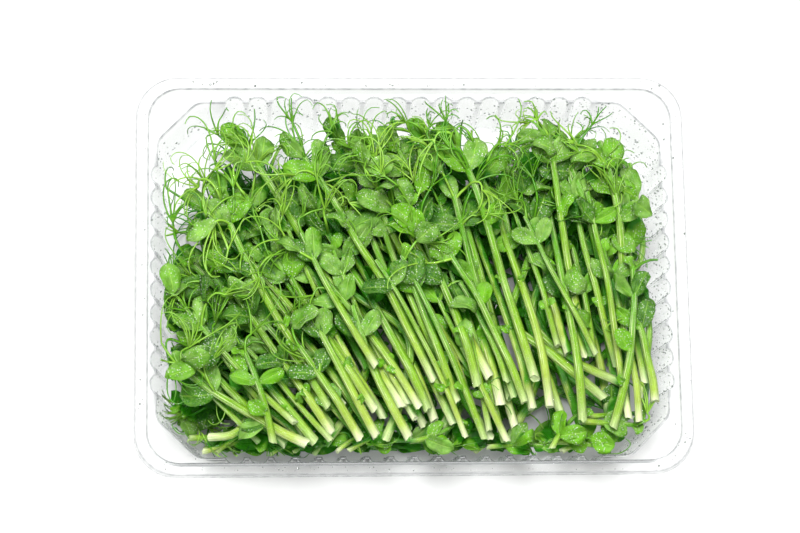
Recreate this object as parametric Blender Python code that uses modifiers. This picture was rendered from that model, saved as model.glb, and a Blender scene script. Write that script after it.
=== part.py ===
"""Pea microgreens in their clear tray: cut shoots lying in a loose heap, tips to the back and left.

Blender 4.5, metres, +Z up. The origin is on the underside of the tray, at the middle of its footprint,
with +X along the tray's long side and -Y its front, where the cut ends lie.
"""

import math

import bmesh
import bpy
import numpy as np

# Tray, a thermoformed food tray of the common 187 x 137 mm footprint
TRAY_LENGTH = 0.187
TRAY_WIDTH = 0.137
TRAY_HEIGHT = 0.036
SHEET = 0.0006
FLANGE = 0.0046
LIP_DROP = 0.0025
LIP_FLARE = 0.0004
STEP_DEPTH = 0.008
LEDGE = 0.0027
FLANGE_CORNER = 0.014
STEP_CORNER = 0.011
CORNER_STEPS = 6
WALL_LEAN = 0.0028
CHAMFER = 0.0135
FLUTE_PITCH = 0.008
FLUTE_CHORD = 0.0063
FLUTE_DEPTH = 0.002
# Share of a flute's half chord that is flat at full depth, and its depth at the foot as a share of that above
FLUTE_FLAT = 0.45
FOOT_FLUTE = 0.7
FLUTES_LONG = 16
FLUTES_SHORT = 10
LEDGE_Z = TRAY_HEIGHT - STEP_DEPTH
# Half sizes of the cavity between its flutes, at the ledge and at the floor
CAVITY_X = TRAY_LENGTH / 2 - FLANGE - LEDGE
CAVITY_Y = TRAY_WIDTH / 2 - FLANGE - LEDGE
FLOOR_X = CAVITY_X - WALL_LEAN
FLOOR_Y = CAVITY_Y - WALL_LEAN

# Stems and tendrils, each with its radius where it starts
STEM_RADIUS = 0.00150
TIP_RADIUS = 0.00098
STEM_SPANS = 5
STEM_SIDES = 4
TENDRIL_RADIUS = 0.00052
TENDRIL_THINNING = 0.75
TENDRIL_SPANS = 3
TENDRIL_SIDES = 3
TENDRIL_LENGTH = (0.018, 0.030)
TENDRIL_CURL = 0.7
TENDRIL_ARCH = (0.001, 0.006)
TENDRIL_CLIMB = 0.6

# Leaves. A pair of values is for one deep in the heap and for one loose on top of it
BLADE_SHEET = 0.00072
LEAF_LENGTH = 0.0135
LEAF_WIDTH = 0.0095
LENGTH_SPREAD = 0.15
WIDTH_SPREAD = 0.12
LEAF_DROOP = -0.05
LEAF_LIFT = (0.12, 0.57)
LEAF_ROLL = (0.12, 0.42)
LEAF_SAG = (0.04, 0.12)
# Share of a leaf's length, and of its half width there
LEAF_OUTLINE = ((0.0, 0.13), (0.34, 1.0), (0.72, 0.80), (1.0, 0.16))
SMALL_LEAF_OUTLINE = ((0.0, 0.13), (0.45, 1.0), (1.0, 0.16))
# Turns tried for a leaf, as shares of the one drawn for it
LEAF_TURNS = (1.0, 0.65, 1.35)
NODE_FROM_TIP = 0.011
LOWER_NODE_FROM_TIP = 0.030
LOWEST_NODE = 0.3
LOWER_LEAF = 0.78
TIP_LEAF = 0.85

# The heap, whose height is kept on a grid of cells that runs a little past the tray
SEED = 20
CELL = 0.0005
GRID_MARGIN = 0.004
GAP = 0.0005
NODE_REACH = 0.0024
WALL_ROOM = 0.0014
# Places across a stem where it is sampled, as shares of its radius, and its half height over each
ROUND_ACROSS = (-0.9, -0.45, 0.0, 0.45, 0.9)
ROUND_DEPTHS = (0.74, 0.97, 1.0, 0.97, 0.74)
STRAYS = 6
PAIR_ROWS = (12, 12)
SINGLE_ROWS = (13, 13)
TRIES = 24
PAIR_GIRTH = (0.82, 1.0)
SINGLE_GIRTH = (0.92, 1.08)

# How a stem bends over what lies below it, and how far a leaf may be pushed up before it is left out
MOST_DIP = 0.006
MOST_SLOPE = 0.26
MOST_LACK = 0.002
MOST_RISE = 0.010
RAISE_ROUNDS = 60
SETTLED = 1e-5
ROOT_SHARE = 0.3
STEEPEST = 1.3
SHORTEST_SPAN = 0.003

# Two shoots side by side touch at one station, this many radii apart, and part from there
TOUCHING = 2
TOUCH = 1.25
PARTING = 0.09
PARTING_POWER = 1.3
PARTNER_SHIFT = 0.05

# Plan of the heap at shares of its way from left to right: where the cut ends and the tips lie
PLACES = (0.0, 0.15, 0.36, 0.60, 0.82, 1.0)
BASE_LINE = (
    (-0.046, -0.057),
    (-0.030, -0.058),
    (-0.004, -0.058),
    (0.030, -0.058),
    (0.058, -0.057),
    (0.079, -0.050),
)
TIP_LINE = (
    (-0.078, -0.022),
    (-0.075, 0.006),
    (-0.056, 0.030),
    (-0.010, 0.044),
    (0.033, 0.046),
    (0.075, 0.038),
)
# How far a shoot strays from that plan
ROAM = 0.05
REACH = (0.72, 1.1)
BASE_SLIDE = (0.004, 0.030)
SLIDE_SPREAD = (-0.003, 0.005)
TIP_SLIDE = 0.3
BASE_SPREAD_X = 0.0025
BASE_SPREAD_Y = (-0.001, 0.003)
TIP_SPREAD = (0.005, 0.004)
BOW = 0.03
SHORTEST = 0.058
# The short shoots across the front
STRAY_LINE = (-0.055, 0.075)
STRAY_FROM_WALL = (0.004, 0.006)
STRAY_HALF = (0.013, 0.016)
STRAY_TURN = 0.1
STRAY_BOW = 0.08
STRAY_GIRTH = 0.7


def along(line, share):
    """The point at this share of a plan line's way from left to right."""
    return np.array([np.interp(share, PLACES, [point[axis] for point in line]) for axis in (0, 1)])


def turned(vector, angle):
    """A plan vector turned anticlockwise."""
    c, s = math.cos(angle), math.sin(angle)
    return np.array([c * vector[0] - s * vector[1], s * vector[0] + c * vector[1]])


def outside(x, y, half_x, half_y, chamfer):
    """How far a point lies outside a rectangle with cut corners, and below zero inside it."""
    x, y = np.abs(x), np.abs(y)
    cut = (x + y - (half_x + half_y - chamfer)) / math.sqrt(2)
    return np.maximum(np.maximum(x - half_x, y - half_y), cut)


def kept_in(point, margin):
    """A plan point moved back inside the tray's floor, this far from the wall."""
    x, y = point
    half_x, half_y = FLOOR_X - margin, FLOOR_Y - margin
    x = min(max(x, -half_x), half_x)
    y = min(max(y, -half_y), half_y)
    over = abs(x) + abs(y) - (half_x + half_y - CHAMFER)
    if over > 0:
        x -= math.copysign(over / 2, x)
        y -= math.copysign(over / 2, y)
    return np.array([x, y])


def way_on(point, heading, step, margin):
    """The heading nearest to this one that keeps the next step inside the tray."""
    headings = [turned(heading, 0.4 * turns * hand) for turns in range(8) for hand in (1, -1)]
    lost = [np.linalg.norm(kept_in(point + step * h, margin) - point - step * h) > 1e-9 for h in headings]
    return headings[lost.index(False)] if False in lost else heading


def spread(grid, cells):
    """The grid with each cell raised to the highest within this many cells of it."""
    for axis in (0, 1):
        grid = np.maximum.reduce([np.roll(grid, shift, axis) for shift in range(-cells, cells + 1)])
    return grid


class Heap:
    """The height of what lies in the tray so far, on a square grid, starting from the tray's own inside."""

    def __init__(self, top=None):
        self.half = np.array([TRAY_LENGTH, TRAY_WIDTH]) / 2 + GRID_MARGIN
        self.top = self.empty_tray() if top is None else top
        self.settle()

    def empty_tray(self):
        count = np.ceil(2 * self.half / CELL).astype(int)
        x, y = (CELL * (np.arange(n) + 0.5) - half for n, half in zip(count, self.half))
        gx, gy = np.meshgrid(x, y, indexing="ij")
        past_floor = outside(gx, gy, FLOOR_X, FLOOR_Y, CHAMFER)
        wall = SHEET + np.clip(past_floor / WALL_LEAN, 0, 1) * LEDGE_Z
        step = outside(gx, gy, CAVITY_X + LEDGE, CAVITY_Y + LEDGE, STEP_CORNER / 2)
        return np.where(step > -CELL, TRAY_HEIGHT, wall)

    def settle(self):
        """Works out the highest thing near each cell, once everything laid so far is in place."""
        self.near = spread(self.top, 1)
        self.wide = spread(self.top, math.ceil(NODE_REACH / CELL))

    def with_parts(self, parts):
        """A copy of the heap with these parts on it too."""
        top = self.top.copy()
        for part in parts:
            cells = self.cells(part.points)
            np.maximum.at(top, cells, part.heights() + part.depths)
        return Heap(top)

    def cells(self, points):
        return tuple(((points + self.half) / CELL).astype(int).T)

    def mean_near(self, point, reach):
        low, high = (((point + way * reach + self.half) / CELL).astype(int) for way in (-1, 1))
        low = np.maximum(low, 0)
        return self.top[low[0]:high[0] + 1, low[1]:high[1] + 1].mean()


class Strip:
    """Part of a shoot that follows a line: its stations, the half width across each and its half thickness.

    A strip with no half thickness is round. One with a free root may be raised all along it.
    """

    def __init__(self, plan, heights, half_widths, half_thickness, roll=0.0, free_root=True):
        self.plan = np.array(plan, float)
        self.z = np.array(heights, float)
        self.half_widths = np.array(half_widths, float)
        self.half_thickness = half_thickness
        self.roll = roll
        self.free_root = free_root
        self.sample()

    def side(self):
        """Unit plan vectors across the line at each station."""
        run = np.gradient(self.plan, axis=0)
        run /= np.linalg.norm(run, axis=1)[:, None]
        return np.stack([-run[:, 1], run[:, 0]], axis=1)

    def sample(self):
        """Places all over the strip: the span and share of each, its rise by the roll and its half depth."""
        across, depths = self.places_across()
        side = self.side()
        lengths = np.linalg.norm(np.diff(self.plan, axis=0), axis=1)
        ways = [np.linspace(0, 1, max(2, math.ceil(length / CELL) + 1)) for length in lengths]
        spans = np.concatenate([np.full(len(way), j) for j, way in enumerate(ways)])
        w = np.concatenate(ways)
        halves = self.between(self.half_widths, spans, w)
        middles = self.between(self.plan, spans, w[:, None])
        sides = self.between(side, spans, w[:, None])
        out = across[None, :] * halves[:, None]
        aside = math.cos(self.roll) * out[:, :, None] * sides[:, None]
        self.points = (middles[:, None] + aside).reshape(-1, 2)
        self.rises = math.sin(self.roll) * out.reshape(-1)
        self.spans, self.shares = np.repeat(spans, len(across)), np.repeat(w, len(across))
        scale = halves if self.half_thickness is None else np.full(len(halves), self.half_thickness)
        self.depths = (scale[:, None] * depths[None]).reshape(-1)

    def between(self, values, spans, w):
        return (1 - w) * values[spans] + w * values[spans + 1]

    def places_across(self):
        """Places across the strip, as shares of its half width, and the share of its depth at each."""
        if self.half_thickness is None:
            return np.array(ROUND_ACROSS), np.array(ROUND_DEPTHS)
        count = 2 * math.ceil(self.half_widths.max() / CELL) + 1
        return np.linspace(-1, 1, count), np.ones(count)

    def heights(self):
        return self.between(self.z, self.spans, self.shares) + self.rises

    def lift_clear(self, heap, wide=False):
        """Raises the stations until the strip is above the heap. Returns what its fixed root still lacks."""
        cells = heap.cells(self.points)
        need = np.where(wide, heap.wide[cells], heap.near[cells]) + self.depths + GAP - self.rises
        fixed = (self.spans == 0) & (self.shares < ROOT_SHARE) & (not self.free_root)
        free = [np.flatnonzero((self.spans == j) & ~fixed) for j in range(len(self.z) - 1)]
        for _ in range(RAISE_ROUNDS):
            before = self.z.copy()
            for j, mine in enumerate(free):
                self.raise_span(j, need[mine], self.shares[mine])
            if self.free_root:
                self.stiffen()
            if np.abs(self.z - before).max() < SETTLED:
                break
        if self.free_root:
            return 0.0
        too_steep = self.z[1] - self.z[0] - STEEPEST * np.linalg.norm(self.plan[1] - self.plan[0])
        lacks = need[fixed] - self.between(self.z, self.spans[fixed], self.shares[fixed])
        return max(0.0, lacks.max(), too_steep)

    def raise_span(self, j, need, w):
        """Raises the ends of one span by the least that clears its worst place."""
        lacks = need - (1 - w) * self.z[j] - w * self.z[j + 1]
        worst = np.argmax(lacks)
        w, lack = w[worst], lacks[worst]
        if lack <= 0:
            return
        if j == 0 and not self.free_root:
            self.z[1] += lack / w
            return
        even = (1 - w) ** 2 + w**2
        self.z[j] += lack * (1 - w) / even
        self.z[j + 1] += lack * w / even

    def stiffen(self):
        """A stem is too stiff for a narrow dip or a steep drop, so it bridges the one and spans the other."""
        middle = (self.z[:-2] + self.z[2:]) / 2 - MOST_DIP
        self.z[1:-1] = np.maximum(self.z[1:-1], middle)
        drops = MOST_SLOPE * np.linalg.norm(np.diff(self.plan, axis=0), axis=1)
        for j, drop in enumerate(drops):
            self.z[j + 1] = max(self.z[j + 1], self.z[j] - drop)
        for j, drop in reversed(list(enumerate(drops))):
            self.z[j] = max(self.z[j], self.z[j + 1] - drop)

    def at(self, share):
        """Plan point, height and plan direction at a share of the way along the stations."""
        place = share * (len(self.z) - 1)
        j = min(int(place), len(self.z) - 2)
        w = place - j
        run = self.plan[j + 1] - self.plan[j]
        return self.between(self.plan, j, w), self.between(self.z, j, w), run / np.linalg.norm(run)


class Shoot:
    """One cut shoot: a stem with a pair of leaves near its tip and, loose on top, more leaves and tendrils.

    Its level is 0 on the floor of the tray and 1 on top of the heap. How lively it is says how far it keeps
    off what lies below: 0 for a shoot pressed flat, 1 for a loose one.
    """

    def __init__(self, base, tip, bow, draw, level, lively, girth):
        self.wall_room = WALL_ROOM - level * WALL_LEAN
        base, tip = (kept_in(point, NODE_REACH + self.wall_room) for point in (base, tip))
        run = tip - base
        self.length = np.linalg.norm(run)
        across = turned(run / self.length, math.pi / 2)
        shares = np.linspace(0, 1, STEM_SPANS + 1)
        bowed = [base + s * run + bow * self.length * 4 * s * (1 - s) * across for s in shares]
        self.plan = [kept_in(point, NODE_REACH + self.wall_room) for point in bowed]
        self.radii = girth * (STEM_RADIUS + (TIP_RADIUS - STEM_RADIUS) * shares)
        self.level = level
        self.lively = lively
        self.draw = draw
        self.stem = None
        self.blades = []
        self.tendrils = []
        self.roots = []

    def height_on(self, heap):
        """How high the shoot would lie: its stem, and the heap round its tip, where its leaves go."""
        if np.linalg.norm(np.diff(self.plan, axis=0), axis=1).min() < SHORTEST_SPAN:
            return math.inf
        self.lay_stem(heap)
        return self.stem.z.mean() + self.stem.z.max() / 2 + heap.mean_near(self.plan[-1], LEAF_LENGTH) / 2

    def nodes(self):
        """Where leaves grow, as shares of the stem: the upper node, the lower one and the tip."""
        lower = max(LOWEST_NODE, 1 - LOWER_NODE_FROM_TIP / self.length)
        return [1 - NODE_FROM_TIP / self.length, lower, 0.97]

    def lay_stem(self, heap):
        self.stem = Strip(self.plan, np.zeros(len(self.plan)), self.radii, None)
        places = np.array([self.stem.at(share)[0] for share in self.nodes()])
        distance = np.linalg.norm(self.stem.points[:, None] - places[None], axis=2).min(axis=1)
        self.stem.lift_clear(heap, wide=distance < NODE_REACH)

    def grow(self, heap):
        """Adds the leaves and tendrils, the leaves of a node turned to both sides of the stem."""
        draw, nodes = self.draw, self.nodes()
        turn = draw.uniform(0.6, 1.0)
        for hand in (-1, 1):
            self.add_blade(heap, nodes[0], hand * turn * draw.uniform(0.8, 1.2), 1.0)
        if self.lively:
            hand = draw.choice((-1, 1))
            self.add_blade(heap, nodes[1], hand * draw.uniform(0.7, 1.1), LOWER_LEAF)
            self.add_blade(heap, nodes[2], draw.uniform(-0.3, 0.3), TIP_LEAF)
            self.add_tendril(heap, nodes[0], -hand * draw.uniform(0.3, 0.7))
            self.add_tendril(heap, nodes[2], draw.uniform(-0.5, 0.5))

    def add_blade(self, heap, share, turn, size):
        """Adds a leaf at this share of the stem, turned to whichever side of its own turn has most room."""
        draw = self.draw
        length = LEAF_LENGTH * size * draw.uniform(1 - LENGTH_SPREAD, 1 + LENGTH_SPREAD)
        width = LEAF_WIDTH * size * draw.uniform(1 - WIDTH_SPREAD, 1 + WIDTH_SPREAD)
        pitch = draw.uniform(LEAF_DROOP, self.as_lively(LEAF_LIFT))
        roll = draw.uniform(-1, 1) * self.as_lively(LEAF_ROLL)
        sag = length * self.as_lively(LEAF_SAG)
        outline = LEAF_OUTLINE if self.lively else SMALL_LEAF_OUTLINE
        halves = [w * width / 2 for _, w in outline]
        root, z, run = self.stem.at(share)
        tries = []
        for factor in LEAF_TURNS:
            end = root + length * math.cos(pitch) * turned(run, turn * factor)
            reach = kept_in(end, self.wall_room + width / 2) - root
            plan = [root + s * reach for s, _ in outline]
            rise = length * math.sin(pitch)
            heights = [z + s * rise + sag * (4 * s * (1 - s) - s) for s, _ in outline]
            leaf = Strip(plan, heights, halves, BLADE_SHEET / 2, roll, free_root=False)
            lost = length - np.linalg.norm(reach)
            tries.append((leaf.lift_clear(heap) + lost, leaf.z.max(), factor, leaf))
        best = min(tries, key=lambda tried: tried[:3])[3]
        lack = best.lift_clear(heap)
        if self.blades and (lack > MOST_LACK or np.ptp(best.z) > MOST_RISE):
            return
        self.blades.append(best)
        self.fix_on(share, best, lack)

    def as_lively(self, values):
        return values[0] + (values[1] - values[0]) * self.lively

    def add_tendril(self, heap, share, turn):
        """Adds a thin arching tendril, whose heading turns by the same angle at each station."""
        draw = self.draw
        root, z, run = self.stem.at(share)
        step = draw.uniform(*TENDRIL_LENGTH) / TENDRIL_SPANS
        curl = draw.uniform(-TENDRIL_CURL, TENDRIL_CURL)
        heading = turned(run, turn)
        plan, heights = [root], [z]
        rise = draw.uniform(*TENDRIL_ARCH)
        for j in range(1, TENDRIL_SPANS + 1):
            heading = way_on(plan[-1], heading, step, TENDRIL_RADIUS + self.wall_room)
            plan.append(plan[-1] + step * heading)
            heading = turned(heading, curl)
            s = j / TENDRIL_SPANS
            heights.append(z + rise * (4 * s * (1 - s) + TENDRIL_CLIMB * s))
        halves = TENDRIL_RADIUS * np.linspace(1.0, TENDRIL_THINNING, TENDRIL_SPANS + 1)
        tendril = Strip(plan, heights, halves, None, free_root=False)
        lack = tendril.lift_clear(heap)
        if lack > MOST_LACK or np.ptp(tendril.z) > MOST_RISE:
            return
        self.tendrils.append(tendril)
        self.fix_on(share, tendril, lack)

    def fix_on(self, share, part, lack):
        """Notes where a part grows from the stem, and raises the stem there by what the part still lacks."""
        self.roots.append((share, part))
        if lack > 0:
            place = share * (len(self.stem.z) - 1)
            j = min(int(place), len(self.stem.z) - 2)
            w = place - j
            even = (1 - w) ** 2 + w**2
            self.stem.z[j] += lack * (1 - w) / even
            self.stem.z[j + 1] += lack * w / even
            self.settle()

    def settle(self):
        """Raises every part with the stem, after the stem was raised somewhere."""
        self.stem.stiffen()
        for share, part in self.roots:
            part.z += self.stem.at(share)[1] - part.z[0]

    def parts(self):
        return [self.stem, *self.blades, *self.tendrils]


def lowest(heap, tries):
    """The one of these shoots that would lie lowest on the heap."""
    return min(tries, key=lambda shoot: shoot.height_on(heap))


def shoot_at(place, level, draw, lively):
    """A shoot at this share of the heap's width. Higher levels lie further back, and more so on the right."""
    place = np.clip(place + draw.uniform(-ROAM, ROAM), 0.0, 1.0)
    base, tip = along(BASE_LINE, place), along(TIP_LINE, place)
    tip = base + draw.uniform(*REACH) * (tip - base)
    run = (tip - base) / np.linalg.norm(tip - base)
    slide = level * np.interp(place, (0, 1), BASE_SLIDE) + draw.uniform(*SLIDE_SPREAD)
    base = base + slide * run + np.array([draw.normal(0, BASE_SPREAD_X), draw.uniform(*BASE_SPREAD_Y)])
    tip = tip + TIP_SLIDE * slide * run + draw.normal(0, TIP_SPREAD)
    if np.linalg.norm(tip - base) < SHORTEST:
        base = tip - SHORTEST * run
    girth = draw.uniform(*(SINGLE_GIRTH if lively else PAIR_GIRTH))
    return Shoot(base, tip, draw.normal(0, BOW), draw, level, lively, girth)


def stray_at(place, draw):
    """A short shoot on the tray's floor, lying across in front of the others."""
    middle = np.array([np.interp(place, (0, 1), STRAY_LINE), -FLOOR_Y + draw.uniform(*STRAY_FROM_WALL)])
    half = turned(np.array([draw.uniform(*STRAY_HALF), 0.0]), draw.uniform(-STRAY_TURN, STRAY_TURN))
    half = draw.choice((-1, 1)) * half
    bow = draw.uniform(-STRAY_BOW, STRAY_BOW)
    return Shoot(middle - half, middle + half, bow, draw, 0.0, 0.0, STRAY_GIRTH)


def partner_of(first, draw):
    """A second shoot beside the first one: they touch at one station and part towards both ends."""
    hand = draw.choice((-1, 1))
    side = Strip(first.plan, np.zeros(len(first.plan)), first.radii, None).side()
    shares = np.linspace(0, 1, len(first.plan))
    away = np.abs(shares - shares[TOUCHING]) ** PARTING_POWER * PARTING * draw.uniform(0.8, 1.5)
    shift = hand * (TOUCH * first.radii + away)[:, None] * side
    slip = draw.uniform(-PARTNER_SHIFT, PARTNER_SHIFT) * (first.plan[-1] - first.plan[0])
    base, tip = first.plan[0] + shift[0] + slip, first.plan[-1] + shift[-1] + slip
    partner = Shoot(base, tip, 0.0, draw, first.level, 0.0, draw.uniform(*PAIR_GIRTH))
    room = NODE_REACH + partner.wall_room
    middle = [kept_in(point + aside, room) for point, aside in zip(first.plan[1:-1], shift[1:-1])]
    partner.plan = [kept_in(base, room), *middle, kept_in(tip, room)]
    return partner


def lay_pair(heap, place, level, draw):
    """Lays two shoots side by side at the same height, fused where they touch."""
    first = lowest(heap, [shoot_at(place, level, draw, 0.0) for _ in range(TRIES)])
    second = lowest(heap, [partner_of(first, draw) for _ in range(TRIES)])
    first.lay_stem(heap)
    second.lay_stem(heap)
    first.stem.z = second.stem.z = np.maximum(first.stem.z, second.stem.z)
    first.grow(heap)
    second.stem.z = first.stem.z.copy()
    second.grow(heap.with_parts(first.blades))
    first.stem.z = np.maximum(first.stem.z, second.stem.z)
    first.settle()
    return [first, second]


def lay_single(heap, shoot):
    shoot.lay_stem(heap)
    shoot.grow(heap)
    return [shoot]


def laid_shoots():
    """Every node's shoots, laid one after the other from the tray's floor up."""
    draw = np.random.default_rng(SEED)

    def stray(heap, place, level):
        return lay_single(heap, stray_at(place, draw))

    def pair(heap, place, level):
        return lay_pair(heap, place, level, draw)

    def single(heap, place, level):
        return lay_single(heap, lowest(heap, [shoot_at(place, level, draw, level**2) for _ in range(TRIES)]))

    rows = [(pair, count) for count in PAIR_ROWS] + [(single, count) for count in SINGLE_ROWS]
    levels = np.linspace(0, 1, len(rows))
    heap = Heap()
    groups = []
    for (make, count), level in [((stray, STRAYS), 0.0), *zip(rows, levels)]:
        for slot in draw.permutation(count):
            place = (slot + draw.uniform(0.25, 0.75)) / count
            shoots = make(heap, place, level)
            heap = heap.with_parts([part for shoot in shoots for part in shoot.parts()])
            groups.append(shoots)
    return groups


def material(name, colour, roughness, alpha=1.0):
    made = bpy.data.materials.new(name)
    made.use_nodes = True
    surface = made.node_tree.nodes["Principled BSDF"]
    surface.inputs["Base Color"].default_value = (*colour, 1.0)
    surface.inputs["Roughness"].default_value = roughness
    surface.inputs["Metallic"].default_value = 0.0
    surface.inputs["Alpha"].default_value = alpha
    made.diffuse_color = (*colour, alpha)
    return made


def section(sides):
    """A flat closed curve of unit radius, with one side level underneath, to run along a tube."""
    curve = bpy.data.curves.new("section", "CURVE")
    spline = curve.splines.new("POLY")
    spline.points.add(sides - 1)
    spline.use_cyclic_u = True
    for j, point in enumerate(spline.points):
        angle = 2 * math.pi * (j + 0.5) / sides - math.pi / 2
        point.co = (math.cos(angle), math.sin(angle), 0.0, 1.0)
    guide = bpy.data.objects.new("section", curve)
    guide.hide_render = True
    return guide


def tube(name, strip, profile):
    """A tapering tube through a strip's stations, as a welded mesh object."""
    curve = bpy.data.curves.new(name, "CURVE")
    curve.dimensions = "3D"
    curve.twist_mode = "Z_UP"
    curve.bevel_mode = "OBJECT"
    curve.bevel_object = profile
    curve.use_fill_caps = True
    spline = curve.splines.new("POLY")
    spline.points.add(len(strip.z) - 1)
    for point, (x, y), z, radius in zip(spline.points, strip.plan, strip.z, strip.half_widths):
        point.co = (x, y, z, 1.0)
        point.radius = radius
    guide = bpy.data.objects.new(name + "_guide", curve)
    bpy.context.scene.collection.objects.link(guide)
    graph = bpy.context.evaluated_depsgraph_get()
    mesh = bpy.data.meshes.new_from_object(guide.evaluated_get(graph))
    bpy.data.objects.remove(guide)
    return welded(name, mesh)


def welded(name, mesh):
    shape = bmesh.new()
    shape.from_mesh(mesh)
    bmesh.ops.remove_doubles(shape, verts=shape.verts, dist=1e-6)
    bmesh.ops.recalc_face_normals(shape, faces=shape.faces)
    shape.to_mesh(mesh)
    shape.free()
    return bpy.data.objects.new(name, mesh)


def blade(name, strip):
    """A leaf: a grid one face wide, drawn to the strip's outline, given its thickness by Solidify."""
    shape = bmesh.new()
    spans = len(strip.z) - 1
    bmesh.ops.create_grid(shape, x_segments=1, y_segments=spans, size=0.5)
    shape.verts.ensure_lookup_table()
    side = strip.side()
    for vertex in shape.verts:
        j = round((vertex.co.y + 0.5) * spans)
        u = 1 if vertex.co.x > 0 else -1
        x, y = strip.plan[j] - u * strip.half_widths[j] * math.cos(strip.roll) * side[j]
        vertex.co = (x, y, strip.z[j] - u * strip.half_widths[j] * math.sin(strip.roll))
    bmesh.ops.triangulate(shape, faces=shape.faces)
    bmesh.ops.recalc_face_normals(shape, faces=shape.faces)
    mesh = bpy.data.meshes.new(name)
    shape.to_mesh(mesh)
    shape.free()
    leaf = bpy.data.objects.new(name, mesh)
    wall = leaf.modifiers.new("thickness", "SOLIDIFY")
    wall.thickness = 2 * strip.half_thickness
    wall.offset = 0.0
    return leaf


def keep_one_body(mesh):
    """Drops all but the biggest body, which fills a hollow that pieces close off between them."""
    shape = bmesh.new()
    shape.from_mesh(mesh)
    bodies = []
    seen = set()
    for start in shape.verts:
        if start in seen:
            continue
        seen.add(start)
        body, edge = [start], [start]
        while edge:
            near = {e.other_vert(v) for v in edge for e in v.link_edges} - seen
            seen |= near
            edge = list(near)
            body += edge
        bodies.append(body)
    biggest = max(bodies, key=len)
    bmesh.ops.delete(shape, geom=[v for body in bodies if body is not biggest for v in body], context="VERTS")
    shape.to_mesh(mesh)
    shape.free()


def fused(name, pieces, collection, finish):
    """The first piece with all the others joined to it by one Boolean union."""
    helpers = bpy.data.collections.new(name + "_pieces")
    bpy.context.scene.collection.children.link(helpers)
    body, others = pieces[0], pieces[1:]
    for other in others:
        helpers.objects.link(other)
    bpy.context.scene.collection.objects.link(body)
    union = body.modifiers.new("union", "BOOLEAN")
    union.operation = "UNION"
    union.operand_type = "COLLECTION"
    union.collection = helpers
    union.solver = "MANIFOLD"
    graph = bpy.context.evaluated_depsgraph_get()
    mesh = bpy.data.meshes.new_from_object(body.evaluated_get(graph))
    for piece in pieces:
        bpy.data.objects.remove(piece)
    bpy.data.collections.remove(helpers)
    keep_one_body(mesh)
    mesh.name = name
    mesh.materials.clear()
    mesh.materials.append(finish)
    node = bpy.data.objects.new(name, mesh)
    collection.objects.link(node)
    return node


def build_shoots(collection):
    finish = material("pea_shoot_green", (0.20, 0.46, 0.09), 0.5)
    stem_section, tendril_section = section(STEM_SIDES), section(TENDRIL_SIDES)
    counts = {"shoot": 0, "shoot_pair": 0}
    for shoots in laid_shoots():
        kind = "shoot" if len(shoots) == 1 else "shoot_pair"
        counts[kind] += 1
        pieces = []
        for shoot in shoots:
            pieces.append(tube("stem", shoot.stem, stem_section))
            pieces.extend(blade("leaf", strip) for strip in shoot.blades)
            pieces.extend(tube("tendril", strip, tendril_section) for strip in shoot.tendrils)
        fused(f"{kind}_{counts[kind]:02d}", pieces, collection, finish)
    for guide in (stem_section, tendril_section):
        bpy.data.objects.remove(guide)


def rounded_ring(half_x, half_y, radius):
    """Points round a rectangle with rounded corners, anticlockwise from the right."""
    points = []
    for quarter in range(4):
        sx, sy = ((1, 1), (-1, 1), (-1, -1), (1, -1))[quarter]
        centre = (sx * (half_x - radius), sy * (half_y - radius))
        for step in range(CORNER_STEPS + 1):
            angle = math.pi / 2 * (quarter + step / CORNER_STEPS)
            points.append((centre[0] + radius * math.cos(angle), centre[1] + radius * math.sin(angle)))
    return points


def fluted_side(count, depth):
    """One side's flutes, as pairs of a place along it and a depth outward."""
    points = []
    for flute in range(count):
        middle = (flute - (count - 1) / 2) * FLUTE_PITCH
        half = FLUTE_CHORD / 2
        points += [(middle - half, 0.0), (middle - FLUTE_FLAT * half, depth)]
        points += [(middle + FLUTE_FLAT * half, depth), (middle + half, 0.0)]
    return points


def fluted_ring(half_x, half_y, depth):
    """Points round the cavity: a rectangle with cut corners, whose sides are fluted outward."""
    ring = []
    corner_x, corner_y = half_x - CHAMFER, half_y - CHAMFER
    sides = (
        (FLUTES_SHORT, half_x, corner_y, 0.0),
        (FLUTES_LONG, half_y, corner_x, math.pi / 2),
        (FLUTES_SHORT, half_x, corner_y, math.pi),
        (FLUTES_LONG, half_y, corner_x, 1.5 * math.pi),
    )
    for count, distance, reach, angle in sides:
        places = [(-reach, 0.0), *fluted_side(count, depth), (reach, 0.0)]
        ring += [tuple(turned(np.array([distance + out, place]), angle)) for place, out in places]
    return ring


def add_ring(shape, ring, z):
    verts = [shape.verts.new((x, y, z)) for x, y in ring]
    edges = [shape.edges.new((a, b)) for a, b in zip(verts, verts[1:] + verts[:1])]
    return verts, edges


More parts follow.
